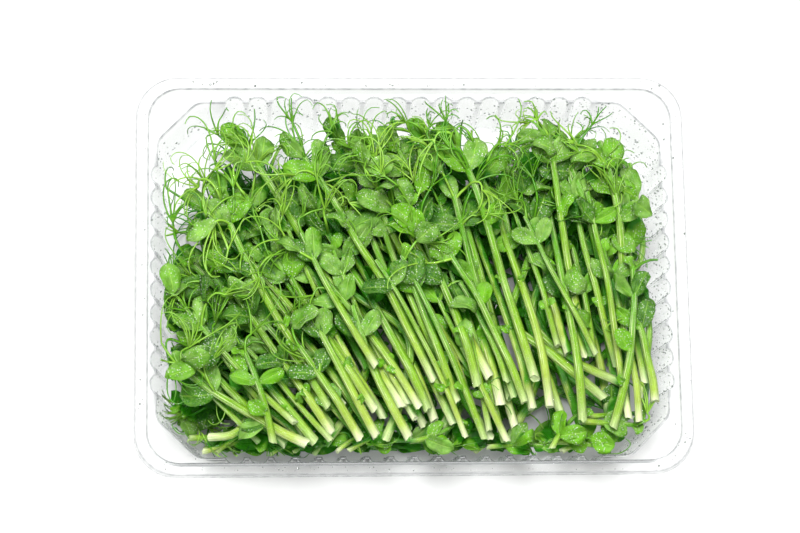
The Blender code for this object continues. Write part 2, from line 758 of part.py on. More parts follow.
def build_tray(collection):
    """One open surface from the floor up the wall and over the rim, given its thickness by Solidify."""
    shape = bmesh.new()
    low, rim = SHEET / 2, TRAY_HEIGHT - SHEET / 2
    outer_x, outer_y = (TRAY_LENGTH - SHEET) / 2, (TRAY_WIDTH - SHEET) / 2
    step_x, step_y = CAVITY_X + LEDGE, CAVITY_Y + LEDGE
    foot = add_ring(shape, fluted_ring(FLOOR_X, FLOOR_Y, FOOT_FLUTE * FLUTE_DEPTH), low)
    brow = add_ring(shape, fluted_ring(CAVITY_X, CAVITY_Y, FLUTE_DEPTH), LEDGE_Z)
    plain = [
        (rounded_ring(step_x, step_y, STEP_CORNER), LEDGE_Z),
        (rounded_ring(step_x, step_y, STEP_CORNER), rim),
        (rounded_ring(outer_x - LIP_FLARE, outer_y - LIP_FLARE, FLANGE_CORNER), rim),
        (rounded_ring(outer_x, outer_y, FLANGE_CORNER), rim - LIP_DROP),
    ]
    rings = [add_ring(shape, ring, z) for ring, z in plain]
    bmesh.ops.triangle_fill(shape, use_beauty=True, use_dissolve=False, edges=foot[1])
    bmesh.ops.triangle_fill(shape, use_beauty=True, use_dissolve=False, edges=brow[1] + rings[0][1])
    for (inner, _), (outer, _) in [(foot, brow), *zip(rings, rings[1:])]:
        for j in range(len(inner)):
            k = (j + 1) % len(inner)
            shape.faces.new((inner[j], inner[k], outer[k], outer[j]))
    bmesh.ops.triangulate(shape, faces=shape.faces)
    bmesh.ops.recalc_face_normals(shape, faces=shape.faces)
    mesh = bpy.data.meshes.new("tray")
    shape.to_mesh(mesh)
    shape.free()
    mesh.materials.append(material("clear_tray", (0.93, 0.95, 0.96), 0.08, 0.25))
    tray = bpy.data.objects.new("tray", mesh)
    collection.objects.link(tray)
    wall = tray.modifiers.new("sheet", "SOLIDIFY")
    wall.thickness = SHEET
    wall.offset = 0.0
    wall.use_even_offset = True


def main():
    for leftover in list(bpy.data.objects):
        bpy.data.objects.remove(leftover)
    collection = bpy.data.collections.new("pea_microgreens")
    bpy.context.scene.collection.children.link(collection)
    build_tray(collection)
    build_shoots(collection)


main()
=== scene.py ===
"""Pea microgreens in their clear tray: the looks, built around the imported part.

Metres, +Z up, in the part's own frame: the origin is on the underside of the tray, +X runs along its long
side and -Y is its front, where the cut ends lie. The shoots are laid by the same rule as the solids that
they stand for, so each fine piece keeps the form of its solid.
"""

import logging
import math
from collections.abc import Callable, Sequence
from dataclasses import dataclass, field
from enum import Enum, IntEnum
from functools import cache, partial

import bmesh
import bpy
import numpy as np
from bmesh.types import BMesh
from bpy.types import Material, Mesh, Node, NodeSocket, NodeTree, Object
from mathutils import Matrix, Vector
from numpy.linalg import norm


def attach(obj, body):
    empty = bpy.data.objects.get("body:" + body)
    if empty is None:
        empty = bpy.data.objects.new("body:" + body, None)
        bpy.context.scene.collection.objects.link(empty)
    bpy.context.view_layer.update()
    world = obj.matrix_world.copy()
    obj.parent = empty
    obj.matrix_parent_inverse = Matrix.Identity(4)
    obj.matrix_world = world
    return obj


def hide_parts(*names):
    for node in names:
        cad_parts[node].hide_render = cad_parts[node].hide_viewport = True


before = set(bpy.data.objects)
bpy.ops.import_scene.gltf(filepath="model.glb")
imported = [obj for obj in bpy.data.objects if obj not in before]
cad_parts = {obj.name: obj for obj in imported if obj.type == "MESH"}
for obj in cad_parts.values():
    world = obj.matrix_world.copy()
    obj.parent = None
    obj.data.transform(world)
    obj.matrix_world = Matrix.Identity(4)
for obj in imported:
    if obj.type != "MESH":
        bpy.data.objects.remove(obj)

log = logging.getLogger("pea_microgreens")
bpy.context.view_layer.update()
Array = np.ndarray
Colour = tuple[float, float, float]
Range = tuple[float, float]
Line = Sequence[tuple[float, float]]
Ring = tuple[Line, float, list[float]]


@dataclass(frozen=True)
class TraySizes:
    """Sizes of the thermoformed tray, which has the common 187 x 137 mm footprint."""

    length: float = 0.187
    width: float = 0.137
    height: float = 0.036
    solid_sheet: float = 0.0006
    flange: float = 0.0046
    step_depth: float = 0.008
    ledge: float = 0.0027
    flange_corner: float = 0.014
    step_corner: float = 0.011
    wall_lean: float = 0.0028
    chamfer: float = 0.0135

    @property
    def ledge_z(self) -> float:
        """Height of the ledge where the walls meet the stacking step."""
        return self.height - self.step_depth

    @property
    def outer(self) -> Array:
        """Half length and half width of the whole tray."""
        return np.array([self.length, self.width]) / 2

    @property
    def cavity(self) -> Array:
        """Half length and half width of the cavity between its flutes, at the ledge."""
        return self.outer - self.flange - self.ledge

    @property
    def floor(self) -> Array:
        """Half length and half width of the cavity at the floor."""
        return self.cavity - self.wall_lean


@dataclass(frozen=True)
class ShootSizes:
    """Sizes of one shoot. A range is for one deep in the heap and one loose on top, or for a random draw."""

    stem_radius: float = 0.00150
    tip_radius: float = 0.00098
    stem_spans: int = 5
    tendril_radius: float = 0.00052
    tendril_thinning: float = 0.75
    tendril_spans: int = 3
    tendril_length: Range = (0.018, 0.030)
    tendril_curl: float = 0.7
    tendril_arch: Range = (0.001, 0.006)
    tendril_climb: float = 0.6
    blade_sheet: float = 0.00072
    leaf_length: float = 0.0135
    leaf_width: float = 0.0095
    length_spread: float = 0.15
    width_spread: float = 0.12
    leaf_droop: float = -0.05
    leaf_lift: Range = (0.12, 0.57)
    leaf_roll: Range = (0.12, 0.42)
    leaf_sag: Range = (0.04, 0.12)
    leaf_outline: Line = ((0.0, 0.13), (0.34, 1.0), (0.72, 0.80), (1.0, 0.16))
    small_leaf_outline: Line = ((0.0, 0.13), (0.45, 1.0), (1.0, 0.16))
    leaf_turns: tuple[float, ...] = (1.0, 0.65, 1.35)
    upper_turn: Range = (0.6, 1.0)
    turn_spread: Range = (0.8, 1.2)
    lower_turn: Range = (0.7, 1.1)
    tip_turn: Range = (-0.3, 0.3)
    side_tendril_turn: Range = (0.3, 0.7)
    tip_tendril_turn: Range = (-0.5, 0.5)
    node_from_tip: float = 0.011
    lower_node_from_tip: float = 0.030
    lowest_node: float = 0.3
    tip_node: float = 0.97
    lower_leaf: float = 0.78
    tip_leaf: float = 0.85


@dataclass(frozen=True)
class HeapRule:
    """How the shoots are laid: the grid of heights, how a stem bends, and where cut ends and tips lie."""

    seed: int = 20
    cell: float = 0.0005
    grid_margin: float = 0.004
    gap: float = 0.0005
    node_reach: float = 0.0024
    wall_room: float = 0.0014
    round_across: tuple[float, ...] = (-0.9, -0.45, 0.0, 0.45, 0.9)
    round_depths: tuple[float, ...] = (0.74, 0.97, 1.0, 0.97, 0.74)
    strays: int = 6
    pair_rows: tuple[int, ...] = (12, 12)
    single_rows: tuple[int, ...] = (13, 13)
    in_slot: Range = (0.25, 0.75)
    tries: int = 24
    pair_girth: Range = (0.82, 1.0)
    single_girth: Range = (0.92, 1.08)
    most_dip: float = 0.006
    most_slope: float = 0.26
    most_lack: float = 0.002
    most_rise: float = 0.010
    raise_rounds: int = 60
    settled: float = 1e-5
    root_share: float = 0.3
    steepest: float = 1.3
    shortest_span: float = 0.003
    way_turn: float = 0.4
    way_turns: int = 8
    touching: int = 2
    touch: float = 1.25
    parting: float = 0.09
    parting_power: float = 1.3
    parting_spread: Range = (0.8, 1.5)
    partner_shift: float = 0.05
    places: tuple[float, ...] = (0.0, 0.15, 0.36, 0.60, 0.82, 1.0)
    base_line: Line = (
        (-0.046, -0.057), (-0.030, -0.058), (-0.004, -0.058),
        (0.030, -0.058), (0.058, -0.057), (0.079, -0.050),
    )
    tip_line: Line = (
        (-0.078, -0.022), (-0.075, 0.006), (-0.056, 0.030),
        (-0.010, 0.044), (0.033, 0.046), (0.075, 0.038),
    )
    roam: float = 0.05
    reach: Range = (0.72, 1.1)
    base_slide: Range = (0.004, 0.030)
    slide_spread: Range = (-0.003, 0.005)
    tip_slide: float = 0.3
    base_spread_x: float = 0.0025
    base_spread_y: Range = (-0.001, 0.003)
    tip_spread: Range = (0.005, 0.004)
    bow: float = 0.03
    shortest: float = 0.058
    stray_line: Range = (-0.055, 0.075)
    stray_from_wall: Range = (0.004, 0.006)
    stray_half: Range = (0.013, 0.016)
    stray_turn: float = 0.1
    stray_bow: float = 0.08
    stray_girth: float = 0.7


@dataclass(frozen=True)
class FillRule:
    """How thinner shoots are laid in the gaps between the others. They are there for the looks alone.

    Leaves are given by their size and their number, and a fill by its level in the heap and its number of
    leaves. Sizes and numbers are shares of the usual ones.
    """

    seed: int = 31
    tries: int = 30
    floor_count: int = 44
    litter_count: int = 36
    low_count: int = 32
    top_count: int = 18
    floor_fill: tuple[float, float] = (0.1, 1.8)
    low_fill: tuple[float, float] = (0.55, 0.8)
    top_fill: tuple[float, float] = (0.9, 0.5)
    roam: Range = (-2, 2)
    reach: Range = (0.55, 0.94)
    slide: Range = (-0.002, 0.032)
    tip_slide: Range = (-0.012, 0.004)
    floor_highest: float = 0.026
    highest: float = 0.042
    aside: float = 0.004
    shortest: float = 0.032
    girth: Range = (0.62, 0.98)
    leaf_size: float = 0.78
    litter_leaves: tuple[float, float] = (0.66, 1.5)
    litter_line: Range = (-0.070, 0.082)
    litter_from_wall: Range = (-0.001, 0.006)
    litter_half: Range = (0.006, 0.012)
    litter_turn: float = 0.7
    litter_girth: Range = (0.45, 0.75)
    litter_level: float = 1.3
    litter_tries: int = 5
    tail_count: int = 14
    tail_past: Range = (-0.002, 0.008)
    tail_length: Range = (0.034, 0.050)
    tail_level: float = 0.5
    tail_leaves: tuple[float, float] = (1.0, 1.6)
    sprig_count: int = 7
    sprig_tips: tuple[Range, Range] = ((-0.0790, -0.0425), (0.0772, -0.0470))
    sprig_spread: float = 0.0016
    sprig_length: Range = (0.017, 0.023)
    sprig_turn: float = 0.3
    sprig_leaves: tuple[float, float] = (0.78, 2.0)
    clash_reach: float = 0.003
    clash_cost: float = 6.0
    group: int = 9


TRAY = TraySizes()
SIZES = ShootSizes()
RULE = HeapRule()
FILL = FillRule()


def along(line: Line, share: float) -> Array:
    """Finds the plan point at this share of a line's way from left to right."""
    return np.array([np.interp(share, RULE.places, [point[axis] for point in line]) for axis in (0, 1)])


def turned(vector: Array, angle: float) -> Array:
    """Turns a plan vector anticlockwise by an angle in radians."""
    c, s = math.cos(angle), math.sin(angle)
    return np.array([c * vector[0] - s * vector[1], s * vector[0] + c * vector[1]])


def outside(points: Array, half: Array, chamfer: float) -> Array:
    """Measures how far plan points lie outside a rectangle with cut corners, below zero inside it."""
    cut = (np.abs(points).sum(axis=-1) - (half.sum() - chamfer)) / math.sqrt(2)
    return np.maximum((np.abs(points) - half).max(axis=-1), cut)


def kept_in(point: Array, margin: float) -> Array:
    """Moves a plan point back inside the tray's floor.

    Args:
        point: The plan point.
        margin: How far it stays from the wall.

    Returns:
        The point, moved if it had to be.
    """
    half = TRAY.floor - margin
    point = np.clip(point, -half, half)
    over = np.abs(point).sum() - (half.sum() - TRAY.chamfer)
    return point - np.copysign(over / 2, point) if over > 0 else point


def way_at(place: float) -> tuple[Array, Array, Array]:
    """Gives the cut end, the tip and the unit way between them at a share of the heap's width."""
    base, tip = along(RULE.base_line, place), along(RULE.tip_line, place)
    return base, tip, (tip - base) / norm(tip - base)


def way_on(point: Array, heading: Array, step: float, margin: float) -> Array:
    """Finds the heading nearest to this one that keeps the next step inside the tray.

    Args:
        point: The plan point that the step starts from.
        heading: The heading wanted, a unit plan vector.
        step: Length of the step.
        margin: How far the step's end stays from the wall.

    Returns:
        The heading to take.
    """
    turns = [RULE.way_turn * count * hand for count in range(RULE.way_turns) for hand in (1, -1)]
    headings = [turned(heading, turn) for turn in turns]
    lost = [norm(kept_in(point + step * h, margin) - point - step * h) > 1e-9 for h in headings]
    return headings[lost.index(False)] if False in lost else heading


def spread(grid: Array, cells: int) -> Array:
    """Raises each cell of a grid to the highest within this many cells of it."""
    for axis in (0, 1):
        grid = np.maximum.reduce([np.roll(grid, shift, axis) for shift in range(-cells, cells + 1)])
    return grid


class Heap:
    """The height of what lies in the tray so far, on a square grid, from the tray's own inside up."""

    def __init__(self, top: Array | None = None) -> None:
        """Starts a heap.

        Args:
            top: Heights of a heap to go on from, or None for the empty tray.
        """
        self.half = TRAY.outer + RULE.grid_margin
        self.top = self.empty_tray() if top is None else top
        self.near = spread(self.top, 1)
        self.wide = spread(self.top, math.ceil(RULE.node_reach / RULE.cell))

    def empty_tray(self) -> Array:
        """Works out how high the tray's inside is.

        Returns:
            The height of each cell.
        """
        count = np.ceil(2 * self.half / RULE.cell).astype(int)
        sides = [RULE.cell * (np.arange(n) + 0.5) - half for n, half in zip(count, self.half)]
        places = np.stack(np.meshgrid(*sides, indexing="ij"), axis=-1)
        past_floor = outside(places, TRAY.floor, TRAY.chamfer)
        wall = TRAY.solid_sheet + np.clip(past_floor / TRAY.wall_lean, 0, 1) * TRAY.ledge_z
        step = outside(places, TRAY.cavity + TRAY.ledge, TRAY.step_corner / 2)
        return np.where(step > -RULE.cell, TRAY.height, wall)

    def with_parts(self, parts: Sequence["Strip"]) -> "Heap":
        """Makes a copy of the heap with these parts on it too."""
        top = self.top.copy()
        for part in parts:
            np.maximum.at(top, self.cells(part.points), part.heights() + part.depths)
        return Heap(top)

    def cells(self, points: Array) -> tuple[Array, ...]:
        """Finds the cells that plan points lie in."""
        return tuple(((points + self.half) / RULE.cell).astype(int).T)

    def mean_near(self, point: Array, reach: float) -> float:
        """Averages the heights in a square round a plan point."""
        low, high = (((point + way * reach + self.half) / RULE.cell).astype(int) for way in (-1, 1))
        low = np.maximum(low, 0)
        return self.top[low[0]:high[0] + 1, low[1]:high[1] + 1].mean()

    def height_at(self, point: Array) -> float:
        """Gives the height of the heap near one plan point."""
        return float(self.near[self.cells(np.asarray(point)[None])][0])


@dataclass(eq=False)
class Strip:
    """Part of a shoot that follows a line: its stations in plan, and the height and half width at each.

    A round strip has no half thickness. Its roll turns its left edge up, and a free root may be raised too.
    """

    plan: Sequence[Array]
    z: Sequence[float]
    half_widths: Sequence[float]
    half_thickness: float | None
    roll: float = 0.0
    free_root: bool = True

    def __post_init__(self) -> None:
        """Lays out places all over the strip: the span and share of each, its rise and its half depth."""
        self.plan, self.z = np.array(self.plan, float), np.array(self.z, float)
        self.half_widths = np.array(self.half_widths, float)
        across, depths = self.places_across()
        side = self.side()
        lengths = norm(np.diff(self.plan, axis=0), axis=1)
        ways = [np.linspace(0, 1, max(2, math.ceil(length / RULE.cell) + 1)) for length in lengths]
        spans = np.concatenate([np.full(len(way), j) for j, way in enumerate(ways)])
        w = np.concatenate(ways)
        halves = self.between(self.half_widths, spans, w)
        middles = self.between(self.plan, spans, w[:, None])
        sides = self.between(side, spans, w[:, None])
        out = across[None, :] * halves[:, None]
        aside = math.cos(self.roll) * out[:, :, None] * sides[:, None]
        self.points = (middles[:, None] + aside).reshape(-1, 2)
        self.rises = math.sin(self.roll) * out.reshape(-1)
        self.spans, self.shares = np.repeat(spans, len(across)), np.repeat(w, len(across))
        scale = halves if self.half_thickness is None else np.full(len(halves), self.half_thickness)
        self.depths = (scale[:, None] * depths[None]).reshape(-1)

    def side(self) -> Array:
        """Finds unit plan vectors across the line at each station."""
        run = np.gradient(self.plan, axis=0)
        run /= norm(run, axis=1)[:, None]
        return np.stack([-run[:, 1], run[:, 0]], axis=1)

    def between(self, values: Array, spans: Array | int, w: Array | float) -> Array:
        """Reads values of the stations at shares w of spans."""
        return (1 - w) * values[spans] + w * values[spans + 1]

    def places_across(self) -> tuple[Array, Array]:
        """Gives places across the strip, as shares of its half width, and its share of depth at each."""
        if self.half_thickness is None:
            return np.array(RULE.round_across), np.array(RULE.round_depths)
        count = 2 * math.ceil(self.half_widths.max() / RULE.cell) + 1
        return np.linspace(-1, 1, count), np.ones(count)

    def heights(self) -> Array:
        """Gives the height at each sampled place."""
        return self.between(self.z, self.spans, self.shares) + self.rises

    def lift_clear(self, heap: Heap, wide: Array | bool = False) -> float:
        """Raises the stations until the strip is above the heap.

        Args:
            heap: What lies below.
            wide: Where more room is kept, for each sampled place.

        Returns:
            How much a fixed root still lacks.
        """
        cells = heap.cells(self.points)
        need = np.where(wide, heap.wide[cells], heap.near[cells]) + self.depths + RULE.gap - self.rises
        fixed = (self.spans == 0) & (self.shares < RULE.root_share) & (not self.free_root)
        free = [np.flatnonzero((self.spans == j) & ~fixed) for j in range(len(self.z) - 1)]
        for _ in range(RULE.raise_rounds):
            before = self.z.copy()
            for j, mine in enumerate(free):
                self.raise_span(j, need[mine], self.shares[mine])
            if self.free_root:
                self.stiffen()
            if np.abs(self.z - before).max() < RULE.settled:
                break
        if self.free_root:
            return 0.0
        too_steep = self.z[1] - self.z[0] - RULE.steepest * norm(self.plan[1] - self.plan[0])
        lacks = need[fixed] - self.between(self.z, self.spans[fixed], self.shares[fixed])
        return max(0.0, lacks.max(), too_steep)

    def raise_span(self, j: int, need: Array, w: Array) -> None:
        """Raises the ends of one span by the least that clears its worst place.

        Args:
            j: Which span.
            need: The height that each of its places needs.
            w: The share of the span at each place.
        """
        lacks = need - (1 - w) * self.z[j] - w * self.z[j + 1]
        worst = np.argmax(lacks)
        if lacks[worst] <= 0:
            return
        if j == 0 and not self.free_root:
            self.z[1] += lacks[worst] / w[worst]
        else:
            self.push_up(j, w[worst], lacks[worst])

    def push_up(self, j: int, w: float, lack: float) -> None:
        """Raises the ends of one span by the least that lifts the place at share w of it by the lack."""
        even = (1 - w) ** 2 + w**2
        self.z[j] += lack * (1 - w) / even
        self.z[j + 1] += lack * w / even

    def span_at(self, share: float) -> tuple[int, float]:
        """Finds the span that a share of the way along the stations lies in, and the share of that span."""
        j = min(int(share * (len(self.z) - 1)), len(self.z) - 2)
        return j, share * (len(self.z) - 1) - j

    def stiffen(self) -> None:
        """Makes a stem bridge a narrow dip and span a steep drop, as it is too stiff to follow them."""
        middle = (self.z[:-2] + self.z[2:]) / 2 - RULE.most_dip
        self.z[1:-1] = np.maximum(self.z[1:-1], middle)
        drops = RULE.most_slope * norm(np.diff(self.plan, axis=0), axis=1)
        for j, drop in enumerate(drops):
            self.z[j + 1] = max(self.z[j + 1], self.z[j] - drop)
        for j, drop in reversed(list(enumerate(drops))):
            self.z[j] = max(self.z[j], self.z[j + 1] - drop)

    def at(self, share: float) -> tuple[Array, float, Array]:
        """Gives the plan point, height and plan direction at a share of the way along the stations."""
        j, w = self.span_at(share)
        run = self.plan[j + 1] - self.plan[j]
        return self.between(self.plan, j, w), self.between(self.z, j, w), run / norm(run)

    def line(self) -> Array:
        """Gives the stations as points in space."""
        return np.column_stack([self.plan, self.z])


@dataclass(eq=False)
class Shoot:
    """One cut shoot: a stem with leaves near its tip and, loose on top, more leaves and tendrils.

    It runs from its base, the cut end, to its tip, and bows to the left by a share of its length. Its level
    is 0 on the tray's floor and 1 on top of the heap, and it is lively from 0, pressed flat, to 1, loose. Its
    girth, its leaves' size and their number are shares of the usual ones.
    """

    base: Array
    tip: Array
    bow: float
    draw: np.random.Generator
    level: float
    lively: float
    girth: float
    leaf_size: float = 1.0
    leafy: float = 1.0

    def __post_init__(self) -> None:
        """Plans the stem's stations and its radii."""
        self.wall_room = RULE.wall_room - self.level * TRAY.wall_lean
        room = RULE.node_reach + self.wall_room
        base, tip = kept_in(self.base, room), kept_in(self.tip, room)
        run = tip - base
        self.length = norm(run)
        across = turned(run / self.length, math.pi / 2)
        shares = np.linspace(0, 1, SIZES.stem_spans + 1)
        bowed = [base + s * run + self.bow * self.length * 4 * s * (1 - s) * across for s in shares]
        self.plan = [kept_in(point, room) for point in bowed]
        self.radii = self.girth * (SIZES.stem_radius + (SIZES.tip_radius - SIZES.stem_radius) * shares)
        self.stem: Strip | None = None
        self.blades: list[Strip] = []
        self.tendrils: list[Strip] = []
        self.roots: list[tuple[float, Strip]] = []

    def height_on(self, heap: Heap) -> float:
        """Works out how high the shoot would lie: its stem, and the heap where its leaves go.

        Args:
            heap: What lies below.

        Returns:
            The height, for the choice among places.
        """
        if norm(np.diff(self.plan, axis=0), axis=1).min() < RULE.shortest_span:
            return math.inf
        self.lay_stem(heap)
        near_tip = heap.mean_near(self.plan[-1], SIZES.leaf_length)
        return self.stem.z.mean() + self.stem.z.max() / 2 + near_tip / 2

    def nodes(self) -> list[float]:
        """Gives where leaves grow, as shares of the stem: the upper node, the lower one and the tip."""
        lower = max(SIZES.lowest_node, 1 - SIZES.lower_node_from_tip / self.length)
        return [1 - SIZES.node_from_tip / self.length, lower, SIZES.tip_node]

    def lay_stem(self, heap: Heap) -> None:
        """Lays the stem over the heap, with more room where leaves grow."""
        self.stem = Strip(self.plan, np.zeros(len(self.plan)), self.radii, None)
        places = np.array([self.stem.at(share)[0] for share in self.nodes()])
        distance = norm(self.stem.points[:, None] - places[None], axis=2).min(axis=1)
        self.stem.lift_clear(heap, wide=distance < RULE.node_reach)

    def grow(self, heap: Heap) -> None:
        """Adds the leaves and tendrils, the leaves of a node turned to both sides of the stem.

        Args:
            heap: What lies below.
        """
        draw, nodes = self.draw, self.nodes()
        turn = draw.uniform(*SIZES.upper_turn)
        for hand in (-1, 1):
            self.add_blade(heap, nodes[0], hand * turn * draw.uniform(*SIZES.turn_spread), 1.0)
        if self.lively:
            hand = draw.choice((-1, 1))
            self.add_blade(heap, nodes[1], hand * draw.uniform(*SIZES.lower_turn), SIZES.lower_leaf)
            self.add_blade(heap, nodes[2], draw.uniform(*SIZES.tip_turn), SIZES.tip_leaf)
            self.add_tendril(heap, nodes[0], -hand * draw.uniform(*SIZES.side_tendril_turn))
            self.add_tendril(heap, nodes[2], draw.uniform(*SIZES.tip_tendril_turn))

    def add_blade(self, heap: Heap, share: float, turn: float, size: float) -> None:
        """Adds a leaf, turned to whichever side of its own turn has most room.

        Args:
            heap: What lies below.
            share: Where on the stem it grows.
            turn: Its turn from the stem's run, in radians.
            size: Its size, as a share of the usual one.
        """
        draw, size = self.draw, size * self.leaf_size
        length = SIZES.leaf_length * size * draw.uniform(1 - SIZES.length_spread, 1 + SIZES.length_spread)
        width = SIZES.leaf_width * size * draw.uniform(1 - SIZES.width_spread, 1 + SIZES.width_spread)
        pitch = draw.uniform(SIZES.leaf_droop, self.as_lively(SIZES.leaf_lift))
        roll = draw.uniform(-1, 1) * self.as_lively(SIZES.leaf_roll)
        sag = length * self.as_lively(SIZES.leaf_sag)
        outline = SIZES.leaf_outline if self.lively else SIZES.small_leaf_outline
        halves = [w * width / 2 for _, w in outline]
        root, z, run = self.stem.at(share)
        tries = []
        for factor in SIZES.leaf_turns:
            end = root + length * math.cos(pitch) * turned(run, turn * factor)
            reach = kept_in(end, self.wall_room + width / 2) - root
            plan = [root + s * reach for s, _ in outline]
            rise = length * math.sin(pitch)
            heights = [z + s * rise + sag * (4 * s * (1 - s) - s) for s, _ in outline]
            leaf = Strip(plan, heights, halves, SIZES.blade_sheet / 2, roll, free_root=False)
            lost = length - norm(reach)
            tries.append((leaf.lift_clear(heap) + lost, leaf.z.max(), factor, leaf))
        best = min(tries, key=lambda tried: tried[:3])[3]
        lack = best.lift_clear(heap)
        if self.blades and (lack > RULE.most_lack or np.ptp(best.z) > RULE.most_rise):
            return
        self.blades.append(best)
        self.fix_on(share, best, lack)

    def as_lively(self, values: Range) -> float:
        """Reads a range at how lively the shoot is."""
        return values[0] + (values[1] - values[0]) * self.lively

    def add_tendril(self, heap: Heap, share: float, turn: float) -> None:
        """Adds a thin arching tendril, whose heading turns by the same angle at each station.

        Args:
            heap: What lies below.
            share: Where on the stem it grows.
            turn: Its first turn from the stem's run, in radians.
        """
        draw = self.draw
        root, z, run = self.stem.at(share)
        step = draw.uniform(*SIZES.tendril_length) / SIZES.tendril_spans
        curl = draw.uniform(-SIZES.tendril_curl, SIZES.tendril_curl)
        heading = turned(run, turn)
        plan, heights = [root], [z]
        rise = draw.uniform(*SIZES.tendril_arch)
        for j in range(1, SIZES.tendril_spans + 1):
            heading = way_on(plan[-1], heading, step, SIZES.tendril_radius + self.wall_room)
            plan.append(plan[-1] + step * heading)
            heading = turned(heading, curl)
            s = j / SIZES.tendril_spans
            heights.append(z + rise * (4 * s * (1 - s) + SIZES.tendril_climb * s))
        halves = SIZES.tendril_radius * np.linspace(1.0, SIZES.tendril_thinning, SIZES.tendril_spans + 1)
        tendril = Strip(plan, heights, halves, None, free_root=False)
        lack = tendril.lift_clear(heap)
        if lack > RULE.most_lack or np.ptp(tendril.z) > RULE.most_rise:
            return
        self.tendrils.append(tendril)
        self.fix_on(share, tendril, lack)

    def fix_on(self, share: float, part: Strip, lack: float) -> None:
        """Notes where a part grows, and raises the stem there by what the part still lacks.

        Args:
            share: Where on the stem it grows.
            part: The leaf or tendril.
            lack: What it lacks.
        """
        self.roots.append((share, part))
        if lack > 0:
            self.stem.push_up(*self.stem.span_at(share), lack)
            self.settle()

    def settle(self) -> None:
        """Raises every part with the stem, after the stem was raised somewhere."""
        self.stem.stiffen()
        for share, part in self.roots:
            part.z += self.stem.at(share)[1] - part.z[0]

    def parts(self) -> list[Strip]:
        """Lists the stem, the leaves and the tendrils."""
        return [self.stem, *self.blades, *self.tendrils]


class Layer(Enum):
    """The kinds of row in the heap, from the floor up."""

    STRAY = "stray"
    PAIR = "pair"
    SINGLE = "single"


@dataclass
class Bundle:
    """The shoots of one piece, as laid, each with the heap that it was laid on."""

    name: str
    shoots: list[Shoot]
    heaps: list[Heap]
    is_node: bool = True


